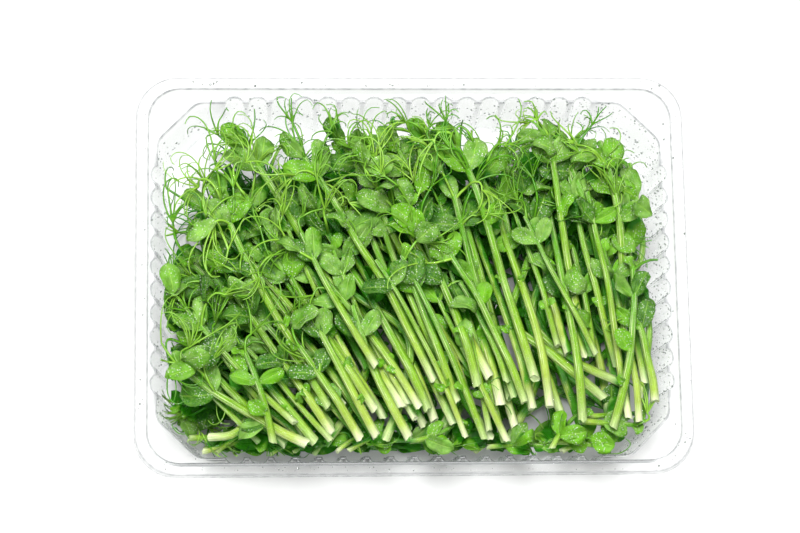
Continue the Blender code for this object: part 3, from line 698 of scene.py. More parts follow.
class Laying:
    """Lays every node's shoots one after the other, from the tray's floor up."""

    def __init__(self) -> None:
        """Starts with an empty tray."""
        self.draw = np.random.default_rng(RULE.seed)
        self.heap = Heap()
        self.counts = {"shoot": 0, "shoot_pair": 0, "loose": 0}

    def lowest(self, tries: list[Shoot]) -> Shoot:
        """Picks the one of these shoots that would lie lowest on the heap."""
        return min(tries, key=lambda shoot: shoot.height_on(self.heap))

    def shoot_at(self, place: float, level: float, lively: float) -> Shoot:
        """Plans a shoot at a share of the heap's width.

        Args:
            place: The share, 0 at the left and 1 at the right.
            level: How high in the heap it is. Higher ones lie further back, and more so on the right.
            lively: How loose it is.

        Returns:
            The shoot, not yet laid.
        """
        draw = self.draw
        place = np.clip(place + draw.uniform(-RULE.roam, RULE.roam), 0.0, 1.0)
        base, tip, _ = way_at(place)
        tip = base + draw.uniform(*RULE.reach) * (tip - base)
        run = (tip - base) / norm(tip - base)
        slide = level * np.interp(place, (0, 1), RULE.base_slide) + draw.uniform(*RULE.slide_spread)
        aside = np.array([draw.normal(0, RULE.base_spread_x), draw.uniform(*RULE.base_spread_y)])
        base = base + slide * run + aside
        tip = tip + RULE.tip_slide * slide * run + draw.normal(0, RULE.tip_spread)
        if norm(tip - base) < RULE.shortest:
            base = tip - RULE.shortest * run
        girth = draw.uniform(*(RULE.single_girth if lively else RULE.pair_girth))
        return Shoot(base, tip, draw.normal(0, RULE.bow), draw, level, lively, girth)

    def stray_at(self, place: float) -> Shoot:
        """Plans a short shoot on the tray's floor, lying across in front of the others.

        Args:
            place: Share of the heap's width where it lies.

        Returns:
            The shoot, not yet laid.
        """
        draw = self.draw
        x = np.interp(place, (0, 1), RULE.stray_line)
        middle = np.array([x, -TRAY.floor[1] + draw.uniform(*RULE.stray_from_wall)])
        half = np.array([draw.uniform(*RULE.stray_half), 0.0])
        half = turned(half, draw.uniform(-RULE.stray_turn, RULE.stray_turn))
        half = draw.choice((-1, 1)) * half
        bow = draw.uniform(-RULE.stray_bow, RULE.stray_bow)
        return Shoot(middle - half, middle + half, bow, draw, 0.0, 0.0, RULE.stray_girth)

    def partner_of(self, first: Shoot) -> Shoot:
        """Plans a second shoot beside a first one: they touch at one station and part towards both ends.

        Args:
            first: The first shoot.

        Returns:
            The second, not yet laid.
        """
        draw = self.draw
        hand = draw.choice((-1, 1))
        side = Strip(first.plan, np.zeros(len(first.plan)), first.radii, None).side()
        shares = np.linspace(0, 1, len(first.plan))
        away = np.abs(shares - shares[RULE.touching]) ** RULE.parting_power * RULE.parting
        away = away * draw.uniform(*RULE.parting_spread)
        shift = hand * (RULE.touch * first.radii + away)[:, None] * side
        slip = draw.uniform(-RULE.partner_shift, RULE.partner_shift) * (first.plan[-1] - first.plan[0])
        base, tip = first.plan[0] + shift[0] + slip, first.plan[-1] + shift[-1] + slip
        partner = Shoot(base, tip, 0.0, draw, first.level, 0.0, draw.uniform(*RULE.pair_girth))
        room = RULE.node_reach + partner.wall_room
        middle = [kept_in(point + aside, room) for point, aside in zip(first.plan[1:-1], shift[1:-1])]
        partner.plan = [kept_in(base, room), *middle, kept_in(tip, room)]
        return partner

    def lay_pair(self, place: float, level: float) -> list[Shoot]:
        """Lays two shoots side by side at the same height, joined where they touch.

        Args:
            place: Share of the heap's width where they lie.
            level: How high in the heap they are.

        Returns:
            The two shoots.
        """
        first = self.lowest([self.shoot_at(place, level, 0.0) for _ in range(RULE.tries)])
        second = self.lowest([self.partner_of(first) for _ in range(RULE.tries)])
        first.lay_stem(self.heap)
        second.lay_stem(self.heap)
        first.stem.z = second.stem.z = np.maximum(first.stem.z, second.stem.z)
        first.grow(self.heap)
        second.stem.z = first.stem.z.copy()
        second.grow(self.heap.with_parts(first.blades))
        first.stem.z = np.maximum(first.stem.z, second.stem.z)
        first.settle()
        return [first, second]

    def lay_single(self, shoot: Shoot) -> list[Shoot]:
        """Lays one shoot on the heap."""
        shoot.lay_stem(self.heap)
        shoot.grow(self.heap)
        return [shoot]

    def lay(self, layer: Layer, place: float, level: float) -> list[Shoot]:
        """Lays the shoots of one node.

        Args:
            layer: The kind of row that they are in.
            place: Share of the heap's width where they lie.
            level: How high in the heap they are.

        Returns:
            The shoots as laid.
        """
        if layer is Layer.STRAY:
            return self.lay_single(self.stray_at(place))
        if layer is Layer.PAIR:
            return self.lay_pair(place, level)
        tries = [self.shoot_at(place, level, level**2) for _ in range(RULE.tries)]
        return self.lay_single(self.lowest(tries))

    def bundles(self) -> list[Bundle]:
        """Lays the whole heap.

        Returns:
            Each node's shoots with the heap below them, in the order in which they were laid.
        """
        rows = [(Layer.PAIR, count) for count in RULE.pair_rows]
        rows += [(Layer.SINGLE, count) for count in RULE.single_rows]
        levels = np.linspace(0, 1, len(rows))
        made = []
        for (layer, count), level in [((Layer.STRAY, RULE.strays), 0.0), *zip(rows, levels)]:
            for slot in self.draw.permutation(count):
                place = (slot + self.draw.uniform(*RULE.in_slot)) / count
                shoots = self.lay(layer, place, level)
                made.append(Bundle(self.next_name(shoots), shoots, [self.heap] * len(shoots)))
                self.heap = self.heap.with_parts([part for shoot in shoots for part in shoot.parts()])
        return made

    def filler_at(self, level: float, leafy: float, place: float) -> Shoot:
        """Plans a thinner and often shorter shoot, whose cut end may lie anywhere along the others.

        Args:
            level: How high in the heap it is.
            leafy: How likely leaves are along it, as a share of the usual chance.
            place: Share of the heap's width where it lies.

        Returns:
            The shoot, not yet laid.
        """
        draw = self.draw
        place = np.clip(place + draw.uniform(*FILL.roam) * RULE.roam, 0.0, 1.0)
        base, tip, run = way_at(place)
        tip = base + draw.uniform(*FILL.reach) * (tip - base)
        base = base + draw.uniform(*FILL.slide) * run + draw.normal(0, FILL.aside, 2)
        tip = tip + draw.uniform(*FILL.tip_slide) * run + draw.normal(0, RULE.tip_spread)
        if norm(tip - base) < FILL.shortest:
            tip = base + FILL.shortest * run
        girth = draw.uniform(*FILL.girth)
        return Shoot(base, tip, draw.normal(0, RULE.bow), draw, level, 0.0, girth, FILL.leaf_size, leafy)

    def litter_at(self, place: float) -> Shoot:
        """Plans a short piece of shoot that lies at any angle on the floor in front of the cut ends.

        Args:
            place: Share of the heap's width where it lies.

        Returns:
            The shoot, not yet laid.
        """
        draw = self.draw
        x = np.interp(place, (0, 1), FILL.litter_line)
        middle = np.array([x, -TRAY.floor[1] + draw.uniform(*FILL.litter_from_wall)])
        half = turned(np.array([draw.uniform(*FILL.litter_half), 0.0]), draw.normal(0, FILL.litter_turn))
        bow = draw.uniform(-RULE.stray_bow, RULE.stray_bow)
        girth = draw.uniform(*FILL.litter_girth)
        ends = middle - half, middle + half
        return Shoot(*ends, bow, draw, FILL.litter_level, 0.0, girth, *FILL.litter_leaves)

    def tail_at(self, place: float) -> Shoot:
        """Plans a short leafy shoot low at the back, where the tips of the others leave gaps.

        Args:
            place: Share of the heap's width where it lies.

        Returns:
            The shoot, not yet laid.
        """
        draw = self.draw
        _, tip, run = way_at(place)
        tip = tip + draw.uniform(*FILL.tail_past) * run + draw.normal(0, RULE.tip_spread)
        base = tip - draw.uniform(*FILL.tail_length) * turned(run, draw.normal(0, RULE.stray_turn))
        girth, bow = draw.uniform(*FILL.girth), draw.normal(0, RULE.bow)
        return Shoot(base, tip, bow, draw, FILL.tail_level, 0.0, girth, *FILL.tail_leaves)

    def sprig_at(self, place: float) -> Shoot:
        """Plans a small sprig that points into the front left or the front right corner.

        Args:
            place: Share of the heap's width where it lies.

        Returns:
            The shoot, not yet laid.
        """
        draw = self.draw
        side = round(place)
        tip = np.array(FILL.sprig_tips[side]) + draw.normal(0, FILL.sprig_spread, 2)
        length = draw.uniform(*FILL.sprig_length) * (2 * side - 1)
        back = turned(np.array([length, 0.0]), draw.normal(0, FILL.sprig_turn))
        girth = draw.uniform(*FILL.litter_girth)
        return Shoot(tip - back, tip, 0.0, draw, FILL.litter_level, 0.0, girth, *FILL.sprig_leaves)

    def crowding(self, shoot: Shoot, over: Array, highest: float) -> float:
        """Works out how badly a shoot would lie: how high, and how far into what lies over it.

        Args:
            shoot: The shoot.
            over: The lowest height of what lies over each cell.
            highest: The highest that its stem may reach.

        Returns:
            The measure, lowest for the best place.
        """
        height = shoot.height_on(self.heap)
        stem = shoot.stem
        if math.isinf(height) or stem.z.max() > highest:
            return math.inf
        into = stem.heights() + stem.depths - over[self.heap.cells(stem.points)]
        return height + FILL.clash_cost * np.clip(into, 0.0, FILL.clash_reach).mean()

    def fill(
        self, count: int, tries: int, plan: Callable[[float], Shoot], over: Array, highest: float,
    ) -> list[tuple[Shoot, Heap]]:
        """Lays thinner shoots in the gaps of the heap as it is now.

        Args:
            count: Number of shoots.
            tries: Number of places tried for each.
            plan: Plans one at a share of the heap's width.
            over: The lowest height of what lies over each cell.
            highest: The highest that a stem may reach.

        Returns:
            The shoots, each with the heap that it was laid on.
        """
        laid = []
        for slot in self.draw.permutation(count):
            place = (slot + self.draw.uniform()) / count
            plans = [plan(place) for _ in range(tries)]
            costs = [self.crowding(shoot, over, highest) for shoot in plans]
            if math.isfinite(min(costs)):
                best = plans[int(np.argmin(costs))]
                laid.append((self.lay_single(best)[0], self.heap))
                self.heap = self.heap.with_parts(best.parts())
        return laid

    def undersides(self, bundles: Sequence[Bundle]) -> Array:
        """Gives the lowest height of these shoots over each cell.

        Args:
            bundles: The shoots, in bundles.

        Returns:
            The height of each cell.
        """
        under = np.full_like(self.heap.top, math.inf)
        for shoot in (shoot for bundle in bundles for shoot in bundle.shoots):
            for part in shoot.parts():
                np.minimum.at(under, self.heap.cells(part.points), part.heights() - part.depths)
        return under

    def all_bundles(self) -> list[Bundle]:
        """Lays the nodes' shoots, and then loose ones: on the floor, under the single shoots and on top.

        Returns:
            Every piece's shoots, the nodes first.
        """
        bundles = self.bundles()
        full = self.heap
        self.draw = np.random.default_rng(FILL.seed)
        low, middle = RULE.strays, RULE.strays + sum(RULE.pair_rows)
        few, many = FILL.litter_tries, FILL.tries
        batches = (
            (low, FILL.litter_count, few, self.litter_at, FILL.floor_highest),
            (low, FILL.sprig_count, few, self.sprig_at, FILL.floor_highest),
            (low, FILL.tail_count, few, self.tail_at, FILL.floor_highest),
            (low, FILL.floor_count, many, partial(self.filler_at, *FILL.floor_fill), FILL.floor_highest),
            (middle, FILL.low_count, many, partial(self.filler_at, *FILL.low_fill), FILL.highest),
            (len(bundles), FILL.top_count, many, partial(self.filler_at, *FILL.top_fill), FILL.highest),
        )
        laid = []
        for start, count, tries, plan, highest in batches:
            below = bundles[start].heaps[0] if start < len(bundles) else full
            self.heap = below.with_parts([part for shoot, _ in laid for part in shoot.parts()])
            laid += self.fill(count, tries, plan, self.undersides(bundles[start:]), highest)
        for start in range(0, len(laid), FILL.group):
            self.counts["loose"] += 1
            shoots, heaps = zip(*laid[start:start + FILL.group])
            bundles.append(Bundle(f"loose_shoots_{self.counts['loose']:02d}", shoots, heaps, False))
        return bundles

    def next_name(self, shoots: list[Shoot]) -> str:
        """Names the next node of one shoot or of two."""
        kind = "shoot" if len(shoots) == 1 else "shoot_pair"
        self.counts[kind] += 1
        return f"{kind}_{self.counts[kind]:02d}"


class Graph:
    """A node tree that is wired up by short calls, for geometry and for materials alike."""

    prefix = "ShaderNode"

    def __init__(self, tree: NodeTree) -> None:
        """Takes the tree to add nodes to."""
        self.tree = tree

    def add(self, kind: str, feeds: dict | None = None, **settings: object) -> Node:
        """Adds a node.

        Args:
            kind: The node's type name, without the prefix that most nodes of the tree have.
            feeds: What goes into its inputs, by name or number: a socket, a node or a plain value.
            settings: Values of the node's own properties, set first.

        Returns:
            The new node.
        """
        node = self.tree.nodes.new(kind if "Node" in kind else self.prefix + kind)
        for name, value in settings.items():
            setattr(node, name, value)
        for key, value in (feeds or {}).items():
            self.feed(self.socket(node.inputs, key), value)
        return node

    def socket(self, sockets: object, key: str | int) -> NodeSocket:
        """Finds a node's socket by number, or by the name that is in use with its settings."""
        if isinstance(key, int):
            return sockets[key]
        return next((s for s in sockets if s.name == key and s.enabled), None) or sockets[key]

    def out(self, source: object, key: str | int = 0) -> object:
        """Gives a node's output in use, and passes on a socket or a plain value as it is.

        Args:
            source: A node, a socket or a value.
            key: Which output of a node.

        Returns:
            The socket or value.
        """
        if not isinstance(source, Node):
            return source
        if key == 0:
            return next(s for s in source.outputs if s.enabled)
        return self.socket(source.outputs, key)

    def feed(self, socket: NodeSocket, value: object) -> None:
        """Links a source to an input, or sets its plain value. A plain colour gets its alpha.

        Args:
            socket: The input.
            value: A node, a socket or a plain value.
        """
        value = self.out(value)
        if isinstance(value, NodeSocket):
            self.tree.links.new(value, socket)
        elif value is not None:
            socket.default_value = (*value, 1.0) if socket.type == "RGBA" and len(value) == 3 else value

    def maths(self, operation: str, *values: object) -> NodeSocket:
        """Adds a Math node and gives its result."""
        return self.out(self.add("ShaderNodeMath", dict(enumerate(values)), operation=operation))

    def times(self, first: object, second: object) -> NodeSocket:
        """Multiplies two values."""
        return self.maths("MULTIPLY", first, second)

    def joined(self, x: object, y: object, z: object) -> NodeSocket:
        """Joins three values into a vector."""
        return self.out(self.add("ShaderNodeCombineXYZ", {0: x, 1: y, 2: z}))

    def split(self, vector: object) -> list[NodeSocket]:
        """Splits a vector into its three values."""
        return list(self.add("ShaderNodeSeparateXYZ", {0: vector}).outputs)

    def mapped(
        self, value: object, low: float, high: float, to: Range = (0.0, 1.0), smooth: bool = False,
    ) -> NodeSocket:
        """Maps a value from one range to another, held at its ends."""
        feeds = {"Value": value, "From Min": low, "From Max": high, "To Min": to[0], "To Max": to[1]}
        kind = "SMOOTHSTEP" if smooth else "LINEAR"
        return self.out(self.add("ShaderNodeMapRange", feeds, interpolation_type=kind, clamp=True))


class Shape(Graph):
    """A Geometry Nodes tree."""

    prefix = "GeometryNode"

    def named(self, name: str, kind: str = "FLOAT") -> NodeSocket:
        """Reads a named attribute."""
        return self.out(self.add("InputNamedAttribute", {"Name": name}, data_type=kind))

    def stored(self, shape: object, name: str, value: object, kind: str = "FLOAT_VECTOR") -> Node:
        """Stores a named attribute on the points of a shape."""
        feeds = {"Geometry": shape, "Name": name, "Value": value}
        return self.add("StoreNamedAttribute", feeds, data_type=kind, domain="POINT")

    def moved(self, place: object, by: object) -> NodeSocket:
        """Adds two vectors."""
        return self.out(self.add("ShaderNodeVectorMath", {0: place, 1: by}, operation="ADD"))


class Surface(Graph):
    """The node tree of a material."""

    def __init__(self, name: str) -> None:
        """Makes a material of this name with only its output node.

        Args:
            name: The material's name.
        """
        self.material = bpy.data.materials.new(name)
        self.material.use_nodes = True
        super().__init__(self.material.node_tree)
        self.tree.nodes.clear()
        self.output = self.add("OutputMaterial")

    def place(self) -> NodeSocket:
        """Gives the place on the piece, in metres."""
        return self.out(self.add("TexCoord"), "Object")

    def mix(self, share: object, first: object, second: object) -> NodeSocket:
        """Mixes two colours."""
        return self.out(self.add("Mix", {"Factor": share, "A": first, "B": second}, data_type="RGBA"))

    def mark(self, name: str, kind: str = "Fac") -> NodeSocket:
        """Reads an attribute of the mesh."""
        return self.out(self.add("Attribute", attribute_name=name), kind)

    def noise(self, place: object, scale: float, detail: float = 2.0) -> NodeSocket:
        """Gives noise from 0 to 1 at a place."""
        return self.out(self.add("TexNoise", {"Vector": place, "Scale": scale, "Detail": detail}))

    def bump(self, height: object, strength: float, distance: float) -> NodeSocket:
        """Makes a normal from a height."""
        return self.out(self.add("Bump", {"Strength": strength, "Distance": distance, "Height": height}))

    def principled(self, colour: object, roughness: object, **more: object) -> Node:
        """Adds the main shader, other inputs by name with _ for a space."""
        shader = self.add("BsdfPrincipled", {"Base Color": colour, "Roughness": roughness})
        for name, value in more.items():
            self.feed(self.socket(shader.inputs, name.replace("_", " ")), value)
        return shader

    def mottled(self, colour: object, place: object, patches: float) -> Sequence[NodeSocket]:
        """Puts the greens' shared mottle and the painted shade of deep places over a colour, and gives the
        new colour and a height for a bump.
        """
        # The attribute "deep" drives the painted shade of places deep in the heap.
        feeds = {"Color": colour, "Place": place, "Patches": patches, "Deep": self.mark("deep")}
        return self.add("Group", feeds, node_tree=plant_mottle()).outputs

    def show(self, shader: object) -> Material:
        """Puts a shader on the surface and gives the finished material."""
        self.feed(self.output.inputs["Surface"], shader)
        return self.material


@cache
def plant_mottle(painted_shade_tint: Colour = (0.14, 0.52, 0.03)) -> NodeTree:
    """Builds the shader group that all greens share, the first time that it is asked for.

    Args:
        painted_shade_tint: What the colour is multiplied by where a place is deep in the heap: painted shade
            under and between the shoots.

    Returns:
        The group, which puts out a colour with soft patches and painted shade, and a height for a bump.
    """
    floats = {"Patches": 0.25, "Patch Scale": 300.0, "Grain Scale": 2500.0, "Deep": 0.0}
    inputs = {"Color": ("Color", None), "Place": ("Vector", None)}
    inputs |= {name: ("Float", value) for name, value in floats.items()}
    tree = new_group("plant_mottle", "Shader", inputs, {"Color": "Color", "Height": "Float"})
    g = Graph(tree)
    given = g.add("NodeGroupInput").outputs
    patch, grain = (
        g.out(g.add("TexNoise", {"Vector": given["Place"], "Scale": given[scale]}))
        for scale in ("Patch Scale", "Grain Scale")
    )
    light = g.maths("MULTIPLY_ADD", g.mapped(patch, 0.3, 0.7, (-1.0, 1.0)), given["Patches"], 1.0)
    # Painted shade: where a place lies deep in the heap, its colour is multiplied darker and greener.
    feeds = {"Factor": given["Deep"], "A": given["Color"], "B": painted_shade_tint}
    painted_shade = g.out(g.add("Mix", feeds, data_type="RGBA", blend_type="MULTIPLY"))
    tinted = g.add("HueSaturation", {"Value": light, "Color": painted_shade})
    g.add("NodeGroupOutput", {"Color": tinted, "Height": g.maths("MULTIPLY_ADD", grain, 0.4, patch)})
    return tree


@dataclass(frozen=True)
class LeafFinish:
    """Pea leaves: green under a pale bloom, with a midrib, side veins, a fine net and pale specks of dew,
    whose glints are painted into the colour.
    """

    deep: Colour = (0.004, 0.090, 0.001)
    fresh: Colour = (0.130, 0.400, 0.002)
    bloom: Colour = (0.262, 0.480, 0.104)
    vein: Colour = (0.330, 0.580, 0.070)
    under: Colour = (0.110, 0.350, 0.010)
    dew_glint: Colour = (0.860, 0.950, 0.740)
    glow: Colour = (0.300, 0.660, 0.008)
    through: float = 0.25

    def veins(self, s: Surface, v: object, u: object, place: object) -> object:
        """Draws the midrib, the curved side veins and the net between them.

        Args:
            s: The material's tree.
            v: The place across the leaf, from -1 to 1.
            u: The place along it, from 0 to 1.
            place: The place on the piece.

        Returns:
            How much of a vein each place is.
        """
        off_rib = s.maths("ABSOLUTE", v)
        rib = s.mapped(off_rib, 0.02, 0.11, (1.0, 0.0))
        slant = s.maths("MULTIPLY_ADD", s.maths("POWER", off_rib, 0.8), -0.36, u)
        side_vein = s.mapped(s.maths("PINGPONG", s.times(slant, 8.0), 0.5), 0.0, 0.12, (0.62, 0.0))
        cell = s.add("TexVoronoi", {"Vector": place, "Scale": 780.0}, feature="DISTANCE_TO_EDGE")
        net = s.mapped(s.out(cell), 0.0, 0.12, (0.45, 0.0))
        return s.maths("MAXIMUM", rib, s.maths("MAXIMUM", side_vein, net))

    def make(self) -> Material:
        """Builds the material.

        Returns:
            The material.
        """
        s = Surface("pea_leaf")
        tone = s.mark("tone")
        v, u, side = s.split(s.mark("blade", "Vector"))
        place = s.place()
        veins = self.veins(s, v, u, place)
        face = s.mapped(side, -1.0, 1.0)
        patch = s.noise(place, 230.0, 4.0)
        bloomy = s.times(s.mapped(tone, 0.10, 0.36, (0.22, 1.0)), s.mapped(tone, 0.55, 0.80, (1.0, 0.25)))
        dust = s.times(s.mapped(patch, 0.34, 0.62, (0.12, 0.85)), bloomy)
        dusty = s.mix(s.times(dust, face), s.mix(tone, self.deep, self.fresh), self.bloom)
        veined = s.mix(s.times(veins, 0.50), dusty, self.vein)
        two_faced = s.mix(s.mapped(side, -1.0, 1.0, (0.7, 0.0)), veined, self.under)
        # Painted highlight: dots in wet patches are mixed towards near white, standing in for the glints of
        # dew drops.
        dots = s.add("TexVoronoi", {"Vector": place, "Scale": 1150.0, "Randomness": 1.0})
        wet = s.mapped(s.noise(place, 150.0, 1.0), 0.40, 0.52)
        dot = s.times(s.mapped(s.out(dots), 0.20, 0.34, (1.0, 0.0)), s.times(wet, face))
        dew_glinted = s.mix(s.times(dot, 0.50), two_faced, self.dew_glint)
        colour, grain = s.mottled(dew_glinted, place, 0.22)
        height = s.maths("MULTIPLY_ADD", veins, -0.9, s.maths("MULTIPLY_ADD", dot, 1.6, grain))
        normal = s.bump(height, 0.6, 0.0004)
        rough = s.times(s.mapped(patch, 0.3, 0.7, (0.26, 0.42)), s.mapped(dot, 0.0, 1.0, (1.0, 0.35)))
        skin = s.principled(colour, rough, Normal=normal, Specular_IOR_Level=0.20)
        glow = s.add("BsdfTranslucent", {"Color": s.mix(0.5, colour, self.glow), "Normal": normal})
        return s.show(s.add("MixShader", {0: self.through, 1: skin, 2: glow}))


@dataclass(frozen=True)
class StemFinish:
    """Stems: near white where they were cut, pale yellow-green above it and greener to the tip, with pale
    streaks and dark seams that are partly the stem's own and partly painted highlight and shade.
    """

    cut: Colour = (0.660, 0.720, 0.440)
    pale: Colour = (0.350, 0.475, 0.060)
    middle: Colour = (0.180, 0.365, 0.008)
    green: Colour = (0.090, 0.290, 0.003)
    streak_and_highlight: Colour = (0.720, 0.780, 0.420)
    seam_and_shade: Colour = (0.020, 0.150, 0.001)

    def make(self) -> Material:
        """Builds the material.

        Returns:
            The material.
        """
        s = Surface("pea_stem")
        share, tone = s.mark("share"), s.mark("tone")
        cosine, sine, run = s.split(s.mark("skin", "Vector"))
        place = s.place()
        aged = s.maths("MULTIPLY_ADD", s.maths("SUBTRACT", tone, 0.4), 0.42, share)
        first = s.mix(s.mapped(share, 0.0, 0.11), self.cut, self.pale)
        second = s.mix(s.mapped(aged, 0.02, 0.42), first, self.middle)
        third = s.mix(s.mapped(aged, 0.42, 0.95), second, self.green)
        around = s.joined(s.times(cosine, 2.0), s.times(sine, 2.0), s.times(run, 3.0))
        streak_and_highlight = s.noise(around, 2.6, 3.0)
        # Pale streaks and dark seams round the stem: partly its own streaking, partly painted highlight and
        # painted shade.
        light = s.mix(s.mapped(streak_and_highlight, 0.54, 0.70, (0.0, 0.80)), third, self.streak_and_highlight)
        streaked = s.mix(s.mapped(streak_and_highlight, 0.30, 0.46, (0.55, 0.0)), light, self.seam_and_shade)
        colour, grain = s.mottled(streaked, place, 0.10)
        # Painted highlight: dew dots on the stem are mixed towards the pale cut colour, standing in for the
        # drops' glints.
        dots = s.add("TexVoronoi", {"Vector": place, "Scale": 1300.0})
        dot = s.mapped(s.out(dots), 0.14, 0.26, (0.5, 0.0))
        height = s.maths("MULTIPLY_ADD", streak_and_highlight, 2.2, s.maths("ADD", grain, dot))
        dew_glinted = s.mix(s.times(dot, 0.7), colour, self.cut)
        shader = s.principled(
            dew_glinted, s.mapped(streak_and_highlight, 0.3, 0.7, (0.32, 0.20)), Normal=s.bump(height, 0.6, 0.0004),
            Specular_IOR_Level=0.36,
            Subsurface_Weight=0.05, Subsurface_Scale=0.0010, Subsurface_Radius=(0.8, 1.0, 0.25),
        )
        return s.show(shader)


@dataclass(frozen=True)
class TendrilFinish:
    """Tendrils and leaf stalks: fresh green threads, some of them paler."""

    dark: Colour = (0.050, 0.210, 0.003)
    light: Colour = (0.270, 0.490, 0.050)

    def make(self) -> Material:
        """Builds the material.

        Returns:
            The material.
        """
        s = Surface("pea_tendril")
        tone, share = s.mark("tone"), s.mark("share")
        place = s.place()
        lit = s.maths("MULTIPLY_ADD", share, -0.25, s.maths("MULTIPLY_ADD", tone, 0.85, 0.15))
        colour, grain = s.mottled(s.mix(lit, self.dark, self.light), place, 0.2)
        rough = s.mapped(grain, 0.3, 1.1, (0.24, 0.38))
        normal = s.bump(grain, 0.3, 0.0002)
        return s.show(s.principled(colour, rough, Normal=normal, Specular_IOR_Level=0.28))


@dataclass(frozen=True)
class ClearFinish:
    """The tray's clear sheet: it shows by its gloss, by a grey tint where it is seen edge on, and by painted
    grey lines where it is bent, which stand in for the dark lines that refraction draws there.
    """

    square: Colour = (0.997, 0.999, 0.999)
    edge_on: Colour = (0.28, 0.30, 0.31)
    shade: Colour = (0.985, 0.988, 0.988)
    gloss: Colour = (0.97, 0.975, 0.975)
    ior: float = 1.46
    shine: float = 0.32

    def make(self) -> Material:
        """Builds the material.

        Returns:
            The material.
        """
        s = Surface("clear_sheet")
        place = s.place()
        normal = s.bump(s.noise(place, 70.0, 2.0), 0.10, 0.0006)
        rough = s.mapped(s.noise(place, 40.0, 3.0), 0.35, 0.75, (0.04, 0.12))
        facing = s.out(s.add("LayerWeight", {"Blend": 0.5}), "Facing")
        edge = s.mapped(facing, 0.90, 1.0, smooth=True)
        # Painted lines: the sheet's bend marks, broken up by noise, grey its clear colour where it is bent,
        # standing in for the dark lines that refraction draws there.
        broken = s.mapped(s.noise(place, 420.0, 2.0), 0.38, 0.62, (0.55, 1.05))
        bend = s.times(s.mark("bend"), broken)
        tint = s.mix(s.maths("MAXIMUM", edge, bend), self.square, self.edge_on)
        is_shade = s.out(s.add("LightPath"), "Is Shadow Ray")
        clear = s.add("BsdfTransparent", {"Color": s.mix(is_shade, tint, self.shade)})
        glint = s.principled(self.gloss, rough, Normal=normal, IOR=self.ior)
        bare = s.times(s.add("Fresnel", {"IOR": self.ior, "Normal": normal}), self.shine)
        share = s.times(bare, s.maths("SUBTRACT", 1.0, is_shade))
        return s.show(s.add("MixShader", {0: share, 1: clear, 2: glint}))


@dataclass(frozen=True)
class WaterFinish:
    """Water drops: mostly clear, with a share of plain colour that paints how bright or dark they look."""

    name: str
    colour: Colour
    through: float
    ior: float = 1.33

    def make(self) -> Material:
        """Builds the material.

        Returns:
            The material.
        """
        s = Surface(self.name)
        normal = s.bump(s.noise(s.place(), 900.0, 1.0), 0.05, 0.0002)
        water = s.principled(self.colour, 0.02, Normal=normal, IOR=self.ior, Transmission_Weight=self.through)
        let_by = s.add("BsdfTransparent", {"Color": (1.0, 1.0, 1.0)})
        path = s.add("LightPath")
        lamp = s.maths("MAXIMUM", s.out(path, "Is Shadow Ray"), s.out(path, "Is Diffuse Ray"))
        return s.show(s.add("MixShader", {0: lamp, 1: water, 2: let_by}))


@dataclass(frozen=True)
class FloorFinish:
    """The plain pale studio floor."""

    colour: Colour = (0.560, 0.560, 0.558)

    def make(self) -> Material:
        """Builds the material.

        Returns:
            The material.
        """
        s = Surface("studio_floor")
        shade = s.mix(s.noise(s.place(), 6.0, 2.0), self.colour, tuple(0.985 * c for c in self.colour))
        return s.show(s.principled(shade, 0.6, Specular_IOR_Level=0.2))


class Part(IntEnum):
    """What a point of a skeleton grows into."""

    STEM = 0
    THREAD = 1
    LEAF = 2


class Skeleton:
    """The lines and leaf places of one piece, with the attributes that its growing tree reads."""

    FLOATS = ("part", "girth", "share", "tone")
    VECTORS = ("root", "turn", "size", "form")

    def __init__(self) -> None:
        """Starts with nothing."""
        self.points: list[Array] = []
        self.edges: list[tuple[int, int]] = []
        self.values: dict[str, list] = {name: [] for name in (*self.FLOATS, *self.VECTORS)}

    def add_point(self, point: Array, **values: object) -> None:
        """Adds a point, with the attributes given and 0 for the others."""
        self.points.append(np.asarray(point, float))
        for name, column in self.values.items():
            column.append(values.get(name, 0.0 if name in self.FLOATS else (0.0, 0.0, 0.0)))

    def add_line(self, part: Part, line: Array, girths: Sequence[float], tone: float) -> None:
        """Adds a stem or a thread.

        Args:
            part: Which of the two.
            line: Its points, from root to tip.
            girths: Its radius at each.
            tone: How light it is, from 0 to 1.
        """
        first = len(self.points)
        steps = norm(np.diff(line, axis=0), axis=1)
        shares = np.concatenate([[0.0], np.cumsum(steps) / steps.sum()])
        for point, girth, share in zip(line, girths, shares):
            self.add_point(point, part=int(part), girth=girth, share=share, tone=tone)
        self.edges += [(j, j + 1) for j in range(first, first + len(line) - 1)]

    def add_leaf(self, root: Array, turn: Matrix, size: tuple, form: tuple, tone: float) -> None:
        """Adds a leaf: root, turn, length, width and thickness, fold, arch and wave, and how light it is."""
        place = {"root": tuple(root), "turn": tuple(turn.to_euler())}
        self.add_point(root, part=int(Part.LEAF), tone=tone, size=size, form=form, **place)

    def made(self, name: str) -> Mesh:
        """Makes the mesh that the growing tree is put on.

        Args:
            name: The mesh's name.

        Returns:
            The mesh, with what each point says as attributes.
        """
        mesh = bpy.data.meshes.new(name)
        mesh.from_pydata([tuple(point) for point in self.points], self.edges, [])
        for names, kind, key in ((self.FLOATS, "FLOAT", "value"), (self.VECTORS, "FLOAT_VECTOR", "vector")):
            for column in names:
                values = np.array(self.values[column], np.float32).ravel()
                mesh.attributes.new(column, kind, "POINT").data.foreach_set(key, values)
        return mesh


